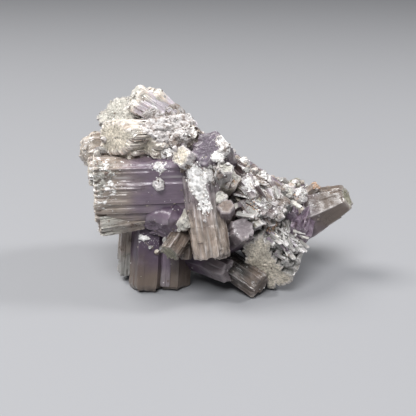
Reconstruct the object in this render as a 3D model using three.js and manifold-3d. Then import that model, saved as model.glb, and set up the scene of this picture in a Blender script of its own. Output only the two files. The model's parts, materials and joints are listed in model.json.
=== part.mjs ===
// A loose cluster of intergrown aragonite twins, resting on the ends of its lower crystals.
//
// Each crystal is a six-sided prism, a cyclic twin, fluted along its length and closed by a flat
// basal face. Some are bundles of parallel columns whose ends stand at different heights, which
// gives stepped ends and ledges. All of them grow through one another from a common middle, so
// they are joined into one solid.
//
// Millimetres. +X to the right, +Y to the back, +Z up. The origin is under the middle of the
// cluster, on the surface that it rests on.

import * as THREE from "three";
import { mergeVertices } from "three/addons/utils/BufferGeometryUtils.js";
import Module from "manifold-3d";

const wasm = await Module();
wasm.setup();

// Driving dimensions.
const REST_HEIGHT = 0; // the feet are worn flat at this height
const FLUTE_DEPTH = 0.35; // how far the flutes cut into a prism face
const RIB_HEIGHT = -0.3; // a rib between two flutes stands out by this share of a flute's depth
const DEEPEST_FLUTE = 0.12; // no flute is deeper than this share of its prism face's width
const FLUTES_BY_WIDTH = [[7, 3], [4.5, 2], [0, 1]]; // wider than this: so many flutes to a face
const SIDE_UNEVENNESS = 0.09; // how far a prism's corners stray, as a share of its radius
const HEXAGON_STRETCH = 1.1; // a section drawn as wide as it is thick is nearly a regular hexagon
const END_LEAN = [0.04, -0.05]; // how far an end face leans over its section's two widths
const STEEP = 0.8; // a crystal that stands this steeply takes +Y for its upright, not +Z
const ROOT_WIDENING = 1.0; // a prism's root is this many times as wide as its tip, where it says nothing
const GROUND = { side: 200, depth: 50 }; // the block of ground that the feet are worn against
const WELD = 1e-3; // vertices closer than this are one
const SMALLEST_DETAIL = 0.02; // edges shorter than this are dropped from the joined solid

// Every crystal: root and tip are the middles of its two ends, across and thick its section's two
// widths, roll its turn about its own axis in degrees and widening how many times as wide as its tip
// its root is. outline stands in for the six-sided section where a crystal's end face is broken or
// uneven, and flat says that its end face stands square to its length. columns are parallel columns
// beside it: [across shift, thick shift, width, how much further than the tip it reaches].
const CRYSTALS = [
  // The big striated block at the left.
  { name: "left_block", root: [-3.4, -5.3, 24], tip: [-28.6, -8.3, 24.2], roll: 0, flat: true,
    outline: [[-6.5, -5], [-3, -7], [1.5, -7.2], [4.4, -6.8], [5.2, -6], [5.5, -4.4], [6.1, -4.1],
      [6.1, -2.2], [6.5, -1.8], [6.5, 2.8], [6.2, 3.2], [6.1, 6.4], [5, 7.6], [1.5, 8], [-4, 7.4],
      [-7.2, 3.5]],
    columns: [[2.6, 4.6, 5, 0.9], [-2.6, 3.4, 7, 1.2]] },
  { name: "left_block_foot", root: [-17.6, -9.2, 17.4], tip: [-27.2, -12.4, 16.8], across: 5.4, thick: 5,
    roll: 0 },
  { name: "pale_lump", root: [-12.4, -7.3, 25], tip: [-13.6, -14.2, 27.2], across: 3.2, thick: 3,
    roll: 25 },
  { name: "purple_knee", root: [-8.4, -1.3, 24], tip: [-13.4, -12.8, 15.9], across: 12.4, thick: 8,
    roll: 0 },
  // The upper left.
  { name: "upper_left", root: [-8.4, 2.7, 32.5], tip: [-20.9, -11.8, 35.5], roll: 0, flat: true,
    outline: [[-8.5, 2], [-8, -2.5], [-6, -3.5], [-1.5, -2.5], [1.5, -0.5], [3, 3], [0, 4.5],
      [-4, 5], [-7.5, 4]],
    columns: [[-2, -1, 7, -2], [2.5, 0.5, 6, -5]] },
  { name: "left_knob", root: [-21.4, 1.7, 31], tip: [-30.8, -4.3, 32.2], across: 6, thick: 6.4, roll: 0,
    columns: [[1.4, -2.4, 3.2, -1]] },
  { name: "back_left", root: [-11.4, 13.7, 31.5], tip: [-22.9, 1.7, 40], roll: 0, flat: true,
    outline: [[-8, -2.5], [-6, -4.5], [-2, -3.5], [2, -3], [5.5, -1.5], [6, 0], [3.5, 1.5],
      [0.5, 4], [-3.5, 3], [-5, 1.5], [-5.5, 0]] },
  { name: "top_prism", root: [-10.8, 2.6, 37.2], tip: [-19.8, -0.8, 43.9], roll: 10, widening: 0.8,
    outline: [[-2.8, -2.2], [-0.6, -3.4], [1.9, -3.2], [2.7, -2], [2.8, 0.5], [2.5, 0.8], [2.4, 2.6],
      [1.6, 3.4], [-1, 3.5], [-2.9, 1.8]] },
  { name: "brow", root: [-7.4, 1.7, 37], tip: [-16.6, -6.3, 37.3], across: 7, thick: 5, roll: 20 },
  // The middle.
  { name: "crown", root: [0.6, 1.7, 24], tip: [-2.4, -11.8, 35], across: 10, thick: 9, roll: 15 },
  { name: "white_block", root: [-5.4, -8.3, 30], tip: [-8.4, -15.3, 34], across: 4.4, thick: 4, roll: 30 },
  { name: "rubble_left", root: [-7.4, -0.3, 30], tip: [-13.9, -9.3, 33.2], across: 5, thick: 4.4, roll: 5 },
  { name: "rubble_mid", root: [-4.4, -0.3, 30], tip: [-10.9, -6.8, 36.5], across: 5.6, thick: 5, roll: 20,
    columns: [[2.6, 0, 3, -0.8], [-2.2, -1.6, 3.2, -1.3]] },
  { name: "rubble_back", root: [-2.4, 2.7, 30], tip: [-6.8, -5.9, 37.4], across: 5, thick: 4.2, roll: 0 },
  { name: "small_cube", root: [-8.4, -3.3, 31], tip: [-10.3, -9.3, 36], across: 2.8, thick: 2.6, roll: 12 },
  { name: "center_prism", root: [-5.1, -10.3, 31], tip: [-1.8, -17.8, 11.2], across: 8.4, thick: 7.5,
    roll: 0, columns: [[-2.3, 1.5, 3.8, 0.8], [1.9, 1, 3.6, -0.8]] },
  { name: "grey_stub", root: [-0.4, -9.3, 24], tip: [1.1, -14.8, 31.5], across: 4, thick: 3.6, roll: 10 },
  { name: "grey_stub_right", root: [0.6, -5.3, 22], tip: [2.6, -12.2, 27.9], across: 5, thick: 4.4, roll: 0 },
  { name: "grey_stub_low", root: [-0.4, -6.3, 19], tip: [0.2, -14.7, 24.6], across: 3.6, thick: 3.4,
    roll: 5 },
  { name: "small_prism", root: [2.1, -6.3, 12], tip: [1.4, -16.3, 23], across: 4.4, thick: 4, roll: 0 },
  { name: "lilac_prism", root: [2.2, -8, 11], tip: [5.3, -17.2, 18], across: 6, thick: 5.6, roll: 15 },
  { name: "green_lump", root: [-6.4, -9.3, 20], tip: [-8.2, -16.7, 18.2], across: 3.4, thick: 3, roll: 0 },
  { name: "dark_column", root: [-7, -9.3, 20], tip: [-7.5, -13.8, 9], across: 2.8, thick: 3, roll: 0 },
  // The right.
  { name: "chunk", root: [2.2, -1.3, 24.6], tip: [13.9, -10.5, 18], across: 10.6, thick: 8, roll: 10,
    columns: [[3.4, 2.6, 4, -3], [-3, 3.4, 4, -1.4], [-1, -4, 5, 0.8], [0.5, 4, 3, -5]] },
  { name: "chunk_front", root: [3.6, -4.3, 20], tip: [8.2, -14.9, 18.6], across: 6, thick: 5.5, roll: 8 },
  { name: "ridge_prism", root: [14.6, 1.7, 19], tip: [4.8, -1.8, 27.6], across: 5.4, thick: 4.6, roll: 20,
    columns: [[2, 0.4, 3, -3], [-1.8, 0.8, 3, -1.2]] },
  { name: "ridge_lump", root: [6.6, 0.7, 19], tip: [10.8, -5.3, 25.6], across: 4, thick: 4, roll: 0 },
  { name: "purple_blade", root: [8.6, 0.4, 24.6], tip: [19.6, -5.7, 15.5], across: 4.4, thick: 3, roll: 15 },
  { name: "dark_stub", root: [8.1, 4.7, 19], tip: [16.2, 0.7, 22.6], across: 3.6, thick: 2.6, roll: 0 },
  { name: "green_stub", root: [12.6, 4.7, 18], tip: [19.8, 1.7, 22.4], across: 3.2, thick: 3, roll: 10 },
  { name: "grey_block", root: [11.6, 1.7, 16], tip: [16, -5.3, 22.6], across: 3.6, thick: 3.4, roll: 20 },
  { name: "white_lump", root: [14.6, 2.7, 15], tip: [19.8, -4.6, 21.8], across: 3.8, thick: 3.8, roll: 0 },
  { name: "orange_stub", root: [17.6, 3.7, 15], tip: [23.3, -1.8, 22.9], across: 2.8, thick: 2.6, roll: 0 },
  { name: "far_right", root: [15.6, 2.3, 12], tip: [30.6, -2.3, 20.2], across: 6, thick: 5.8, roll: 0,
    widening: 2.4, columns: [[0.6, 1.8, 4, -3]] },
  { name: "right_block", root: [16.8, 5.2, 15.2], tip: [11.6, -14.3, 9.5], roll: 0, flat: true,
    outline: [[-4.5, 5], [-6.5, 2], [-6, -2], [-4.5, -4.5], [-2, -7], [-1, -9.5], [1.5, -8.5],
      [4.5, -7], [5.5, -4.5], [3.5, -3], [0.5, 1], [0, 4.5], [-1.5, 6.5]],
    columns: [[1, 2.5, 5, -2], [3, -0.5, 5, -3.4], [5, 1.6, 6.6, -7], [3, 4.5, 6, -9],
      [4, -4, 4.5, -1.6]] },
  // The feet.
  { name: "foot", root: [-15.6, -2.3, 22], tip: [-16.9, -9.5, -0.4], across: 8.8, thick: 8.5,
    roll: 0 },
  { name: "foot_right", root: [-9.6, -3.3, 22], tip: [-10.6, -8.3, -0.4], across: 7.2, thick: 8,
    roll: 12 },
  { name: "foot_seam", root: [-11.4, -6.3, 18], tip: [-12.6, -10.8, 1], across: 3.6, thick: 3, roll: 0 },
  { name: "foot_left", root: [-21, -1.3, 20], tip: [-22.4, -4.3, 1.5], across: 4.5, thick: 7, roll: 0 },
  { name: "wedge", root: [-5.4, -8.3, 18], tip: [-11.2, -17.9, 12.2], across: 5.5, thick: 4.5, roll: 10 },
  { name: "low_lilac", root: [-8.4, -5.3, 7], tip: [2.6, -13.8, 6], across: 6, thick: 5.5, roll: 0 },
  { name: "low_tan", root: [-2.4, -6.3, 8.4], tip: [9.6, -15.3, 3.2], across: 6.5, thick: 5.5, roll: 0 },
  // The middle, where everything grows through everything else.
  { name: "heart_across", root: [-16.4, 0.7, 24], tip: [14.6, 2.7, 15], across: 15, thick: 15, roll: 10 },
  { name: "heart_upright", root: [0.6, 1.7, 7], tip: [-6.8, 1.7, 30], across: 14, thick: 14, roll: 0 },
  // The back.
  { name: "back_wide", root: [-0.4, 0.7, 20], tip: [-14.4, 17.2, 28], across: 12, thick: 10.5, roll: 12,
    columns: [[4.5, 1, 5, -1.5], [-4, -3, 5, -2.4]] },
  { name: "back_middle", root: [-0.4, 0.7, 18], tip: [1.1, 18.2, 21], across: 12.5, thick: 11, roll: 20,
    columns: [[-4.4, 3, 5, -1.2], [4.8, -1.5, 5, 1]] },
  { name: "back_top", root: [-1.4, 1.7, 20], tip: [3.6, 12.2, 22.8], across: 8.6, thick: 8, roll: 8,
    columns: [[3, 2, 4, -1.6]] },
  { name: "back_right", root: [1.6, -1.3, 16], tip: [16.6, 14.2, 15], across: 9.5, thick: 9, roll: 15,
    columns: [[-3.6, 2, 4, -1.3]] },
  { name: "back_low", root: [-2.4, -1.3, 18], tip: [-17.4, 14.2, 15.5], across: 9.5, thick: 8.5, roll: 0,
    columns: [[3.2, -2.6, 4, 0.7]] },
  { name: "back_foot_left", root: [-3.4, 1.7, 18], tip: [-9.4, 11.2, -0.5], across: 8.5, thick: 8, roll: 15,
    columns: [[3, -2, 4.4, -2]] },
  { name: "back_foot_right", root: [2.6, 1.7, 17], tip: [12.1, 9.2, -0.5], across: 8.5, thick: 8,
    roll: 30, columns: [[-3, 2.5, 4.4, -2.6]] },
];

// An even but unplanned-looking number from 0 to 1 for whole numbers a and b.
function scatter(a, b) {
  const s = Math.sin(a * 127.1 + b * 311.7) * 43758.5453;
  return s - Math.floor(s);
}

// The outline of a prism's section, as [x, y] points: six corners with flutes between them.
function fluted(across, thick, flutes, seed) {
  const corners = [];
  const high = (thick / 2) * HEXAGON_STRETCH;
  for (let k = 0; k < 6; k++) {
    const angle = (k * Math.PI) / 3 + (scatter(seed, k) - 0.5) * SIDE_UNEVENNESS;
    const reach = 1 + (scatter(seed + 7, k) - 0.5) * SIDE_UNEVENNESS * 2;
    corners.push([(across / 2) * reach * Math.cos(angle), high * reach * Math.sin(angle)]);
  }
  const outline = [];
  corners.forEach((corner, k) => {
    const next = corners[(k + 1) % 6];
    const [dx, dy] = [next[0] - corner[0], next[1] - corner[1]];
    const side = Math.hypot(dx, dy);
    outline.push(corner);
    for (let i = 1; i < flutes; i++) {
      const along = (i + (scatter(seed + k, i) - 0.5) * 0.5) / flutes;
      const depth = i % 2 ? FLUTE_DEPTH * (0.5 + scatter(i, seed + k)) : FLUTE_DEPTH * RIB_HEIGHT;
      const inward = Math.min(depth, side * DEEPEST_FLUTE) / side;
      outline.push([corner[0] + dx * along - dy * inward, corner[1] + dy * along + dx * inward]);
    }
  });
  return outline;
}

// The turn that stands a prism's own Z along the way from root to tip.
function turnTo(root, tip, roll) {
  const along = new THREE.Vector3().subVectors(tip, root).normalize();
  const upright = Math.abs(along.z) > STEEP ? new THREE.Vector3(0, 1, 0) : new THREE.Vector3(0, 0, 1);
  const side = new THREE.Vector3().crossVectors(upright, along).normalize();
  const third = new THREE.Vector3().crossVectors(along, side);
  const turn = new THREE.Matrix4().makeBasis(side, third, along);
  return turn.multiply(new THREE.Matrix4().makeRotationZ(THREE.MathUtils.degToRad(roll)));
}

// A closed geometry as a manifold-3d solid.
function solidOf(geometry) {
  const bare = geometry.index ? geometry.toNonIndexed() : geometry.clone();
  bare.deleteAttribute("normal");
  bare.deleteAttribute("uv");
  const welded = mergeVertices(bare, WELD);
  return new wasm.Manifold(
    new wasm.Mesh({
      numProp: 3,
      vertProperties: welded.attributes.position.array,
      triVerts: new Uint32Array(welded.index.array),
    }),
  );
}

// One prism along its own Z, from z = 0 to its length.
function prismGeometry(outline, length, lean, widening) {
  const section = new THREE.Shape(outline.map(([x, y]) => new THREE.Vector2(x, y)));
  const geometry = new THREE.ExtrudeGeometry(section, {
    depth: length,
    bevelEnabled: false,
    steps: 1,
  });
  const place = geometry.attributes.position;
  for (let i = 0; i < place.count; i++) {
    const atTip = place.getZ(i) > length / 2;
    const scale = atTip ? 1 : widening;
    const [x, y] = [place.getX(i) * scale, place.getY(i) * scale];
    const z = atTip ? length + lean[0] * x + lean[1] * y : 0;
    place.setXYZ(i, x, y, z);
  }
  return geometry;
}

function flutesFor(width) {
  return FLUTES_BY_WIDTH.find(([least]) => width >= least)[1];
}

function crystalSolids(crystal, seed) {
  const root = new THREE.Vector3(...crystal.root);
  const tip = new THREE.Vector3(...crystal.tip);
  const length = root.distanceTo(tip);
  const turn = turnTo(root, tip, crystal.roll).setPosition(root);
  const lean = crystal.flat ? [0, 0] : END_LEAN;
  const widening = crystal.widening ?? ROOT_WIDENING;
  const { across, thick } = crystal;
  const outline = crystal.outline ?? fluted(across, thick, flutesFor(across), seed);
  const main = prismGeometry(outline, length, lean, widening);
  const solids = [solidOf(main.applyMatrix4(turn))];
  (crystal.columns ?? []).forEach(([shiftX, shiftY, width, reach], i) => {
    const section = fluted(width, width, flutesFor(width), seed + 31 * (i + 1));
    const column = prismGeometry(section, length + reach, lean, 1);
    solids.push(solidOf(column.translate(shiftX, shiftY, 0).applyMatrix4(turn)));
  });
  return solids;
}

const crystalList = CRYSTALS.map((crystal, i) => ({
  name: crystal.name,
  solid: wasm.Manifold.union(crystalSolids(crystal, i + 1)),
}));

// The ground side: everything under the rest height is worn away.
const below = new THREE.BoxGeometry(GROUND.side, GROUND.side, GROUND.depth).translate(
  0,
  0,
  REST_HEIGHT - GROUND.depth / 2,
);
const joined = wasm.Manifold.union(crystalList.map((c) => c.solid))
  .subtract(solidOf(below))
  .simplify(SMALLEST_DETAIL);
const cluster = joined.decompose().sort((a, b) => b.volume() - a.volume())[0];

function geometryOf(solid) {
  const mesh = solid.getMesh();
  const positions = new Float32Array(mesh.numVert * 3);
  for (let i = 0; i < mesh.numVert; i++) {
    positions.set(mesh.vertProperties.subarray(i * mesh.numProp, i * mesh.numProp + 3), i * 3);
  }
  return new THREE.BufferGeometry()
    .setAttribute("position", new THREE.BufferAttribute(positions, 3))
    .setIndex(new THREE.BufferAttribute(mesh.triVerts, 1));
}

const aragonite = new THREE.MeshStandardMaterial({ color: 0x9a8a8c, roughness: 0.55, metalness: 0 });
const mesh = new THREE.Mesh(geometryOf(cluster), aragonite);
mesh.name = "crystal_cluster";

const group = new THREE.Group();
group.add(mesh);

export default group;
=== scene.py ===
"""A cluster of intergrown aragonite twins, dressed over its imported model.

Every crystal is a six-sided prism of long narrow laths that lie side by side along its length. The
laths stand a little in or out of one another, some end short of the tip, and the basal faces are
frosted with their ends. A sugary white crust and a few rusty grains sit on the crystals.
"""

import json
import math
from dataclasses import dataclass, field, replace

import bmesh
import bpy
import numpy as np
from bpy.props import FloatProperty, FloatVectorProperty, IntProperty, PointerProperty
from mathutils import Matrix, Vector
from mathutils.bvhtree import BVHTree

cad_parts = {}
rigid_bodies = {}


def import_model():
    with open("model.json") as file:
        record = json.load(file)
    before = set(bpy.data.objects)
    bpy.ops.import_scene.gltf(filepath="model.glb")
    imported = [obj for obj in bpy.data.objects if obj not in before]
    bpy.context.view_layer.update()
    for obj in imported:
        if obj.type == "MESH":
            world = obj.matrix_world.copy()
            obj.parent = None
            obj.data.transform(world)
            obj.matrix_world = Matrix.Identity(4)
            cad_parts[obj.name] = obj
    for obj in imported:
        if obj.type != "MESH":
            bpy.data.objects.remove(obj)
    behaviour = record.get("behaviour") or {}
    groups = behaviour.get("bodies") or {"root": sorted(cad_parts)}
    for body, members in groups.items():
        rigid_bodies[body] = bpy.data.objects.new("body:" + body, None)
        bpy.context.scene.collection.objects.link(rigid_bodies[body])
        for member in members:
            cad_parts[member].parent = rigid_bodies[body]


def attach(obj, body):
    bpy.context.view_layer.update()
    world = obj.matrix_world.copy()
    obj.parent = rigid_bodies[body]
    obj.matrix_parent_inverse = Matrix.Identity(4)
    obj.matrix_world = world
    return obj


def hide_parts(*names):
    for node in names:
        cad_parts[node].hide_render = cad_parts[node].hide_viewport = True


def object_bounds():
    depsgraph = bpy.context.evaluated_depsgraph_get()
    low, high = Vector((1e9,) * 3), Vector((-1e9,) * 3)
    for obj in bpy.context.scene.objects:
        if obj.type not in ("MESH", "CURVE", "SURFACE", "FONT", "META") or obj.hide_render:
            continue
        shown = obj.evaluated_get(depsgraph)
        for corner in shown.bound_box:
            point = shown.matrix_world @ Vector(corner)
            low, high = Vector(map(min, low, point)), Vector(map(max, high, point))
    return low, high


bl_info = {
    "name": "Aragonite Cluster",
    "version": (1, 0, 0),
    "blender": (4, 5, 0),
    "location": "3D View > Sidebar > Aragonite",
    "description": "Dresses a cluster of intergrown aragonite crystals",
    "category": "Object",
}

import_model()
CAD_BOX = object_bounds()
BODY = "root"
NODE = "crystal_cluster"
MM = 0.001  # the tables are in millimetres, and the meshes in metres


# ---------------------------------------------------------------------------------------------
# Sizes and colours that a user would change


def tint(name, default, description):
    """A colour, given as it looks on a screen."""
    return FloatVectorProperty(
        name=name,
        description=description,
        default=default,
        size=3,
        min=0.0,
        max=1.0,
        subtype="COLOR_GAMMA",
    )


class ClusterColours(bpy.types.PropertyGroup):
    """The colours of the crystals, as they look on a screen."""

    violet: tint("Violet", (0.43, 0.372, 0.426), "Flanks near the middle of the cluster")
    deep: tint("Deep violet", (0.29, 0.235, 0.296), "The darkest violet zones")
    umber: tint("Umber", (0.39, 0.34, 0.305), "Olive brown lower ends")
    bark: tint("Bark", (0.312, 0.262, 0.258), "Dark brown violet faces")
    brown: tint("Brown", (0.465, 0.405, 0.37), "Warm brown flanks")
    tan: tint("Tan", (0.575, 0.525, 0.485), "Outer ends of most crystals")
    sand: tint("Sand", (0.69, 0.645, 0.6), "Light tan ends")
    moss: tint("Moss", (0.481, 0.465, 0.398), "Greenish tan ends")
    sage: tint("Sage", (0.75, 0.715, 0.655), "Frosted grey green basal faces")
    ash: tint("Ash", (0.539, 0.531, 0.515), "Grey crystals")
    lilac: tint("Lilac", (0.472, 0.434, 0.446), "Pale violet grey crystals")
    # partly a bleached colour and partly painted light: on the upper left crystal and the grey stubs it
    # lightens flanks that lie in shade
    cream_and_painted_light: tint("Cream", (0.85, 0.815, 0.77), "Warm bleached flanks")
    bloom: tint("Bloom", (0.8, 0.765, 0.79), "Bleached lilac flanks")
    pale: tint("Pale", (0.776, 0.756, 0.75), "Bleached pinkish crystals")
    frost: tint("Frost", (0.7, 0.685, 0.65), "Frosted greenish white faces")
    white: tint("White", (0.94, 0.93, 0.92), "Crust and bleached lumps")
    # painted shade: a near-black tint that stands in for the shade deep inside the cluster, on its heart
    # and at the inner ends of the lowest crystals
    shade: tint("Shade", (0.13, 0.118, 0.11), "The dark heart of the cluster")
    rust: tint("Rust", (0.76, 0.63, 0.53), "Iron stained grains")
    floor: tint("Floor", (0.548, 0.55, 0.562), "The plain floor")


def amount(name, default, least, most, description):
    return FloatProperty(name=name, description=description, default=default, min=least, max=most)


class ClusterSizes(bpy.types.PropertyGroup):
    """The sizes of the fine detail."""

    around: amount("Spacing around", 0.32, 0.15, 1.0, "From mesh point to mesh point round a crystal, mm")
    along: amount("Spacing along", 0.55, 0.2, 2.0, "From mesh point to mesh point along a crystal, mm")
    relief: amount("Relief", 1.0, 0.0, 3.0, "How far the laths stand out, as a share of the usual")
    crumbs: IntProperty(
        name="Crumbs",
        description="How many crumbs lie in the crevices between the crystals",
        default=1500,
        min=0,
        max=5000,
    )


# ---------------------------------------------------------------------------------------------
# The crystals, in millimetres


@dataclass
class Crystal:
    """One crystal: where it stands, its section, its colours and how its surface has grown."""

    name: str
    group: str
    root: tuple  # the middle of its inner end
    tip: tuple  # the middle of its outer end
    across: float = 0.0  # its section's two widths
    thick: float = 0.0
    roll: float = 0.0  # its turn about its own axis, in degrees
    widening: float = 1.0  # how much wider its root is than its tip
    outline: list = field(default_factory=list)  # stands in for a six-sided section
    columns: list = field(default_factory=list)  # see crystal_meshes
    tints: tuple = ("violet", "tan", "sage")  # near the root, near the tip, on the end face
    reach: float = 5.0  # how far from the tip the second colour gives way to the first
    lath: float = 1.1  # the usual width of a lath
    groove: float = 0.12  # how deep the grooves between laths are
    ragged: float = 0.25  # how many laths end short of the tip
    chip: float = 0.3  # how far back the rim is worn round
    grain: float = 0.05  # how rough the skin is
    lumps: float = 0.14  # how far it swells and sinks
    splinters: int = 4  # how many small columns stand round the rim
    smooth: float = 0.0  # how glassy and unstriated its flanks are
    flaky: float = 0.07  # how far thin flakes of its skin stand up
    rim: float = 0.35  # how frosted its rim and corners are, partly frost and partly painted highlight
    streaks: float = 0.07  # how much lighter or darker one lath is than the next
    veins: float = 0.06  # how many laths are bleached, and how many more are stained brown
    coarse: float = 1.0  # how much wider apart the mesh points are

    @property
    def clear(self):
        """Whether it is violet towards its root, where it is clearer and less striated."""
        return self.tints[0] in ("violet", "deep")


# What several crystals or columns have in common.
PALE = {"tints": ("pale", "pale", "pale")}
PURPLE = {"tints": ("violet", "violet", "violet"), "lath": 0.6, "groove": 0.1, "rim": 0.2}
# its white rims and bleached laths are partly frost and partly painted glints on the right block's laths
GLITTER = {
    "tints": ("violet", "ash", "ash"), "lath": 0.4, "groove": 0.14, "flaky": 0.1, "grain": 0.03,
    "streaks": 0.2, "rim": 0.6, "veins": 0.3, "lumps": 0.02,
}
RUBBLE = {"grain": 0.16, "chip": 1.2, "lumps": 0.1, "splinters": 1}
FOOT = {
    "tints": ("deep", "umber", "umber"), "lumps": 0.12, "grain": 0.04, "smooth": 0.8, "rim": 0.1,
    "veins": 0.0,
}
BACK = {"reach": 7, "ragged": 0.3, "lath": 0.7, "groove": 0.07, "smooth": 0.3, "streaks": 0.05}
# the heart is tinted near-black all over as painted shade, for the dark hollow in the middle of the
# cluster
PAINTED_SHADE_HEART = {"tints": ("shade", "shade", "shade"), "coarse": 2.0, "splinters": 0}
TAPERED = {"widening": 0.5, "splinters": 0}

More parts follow.
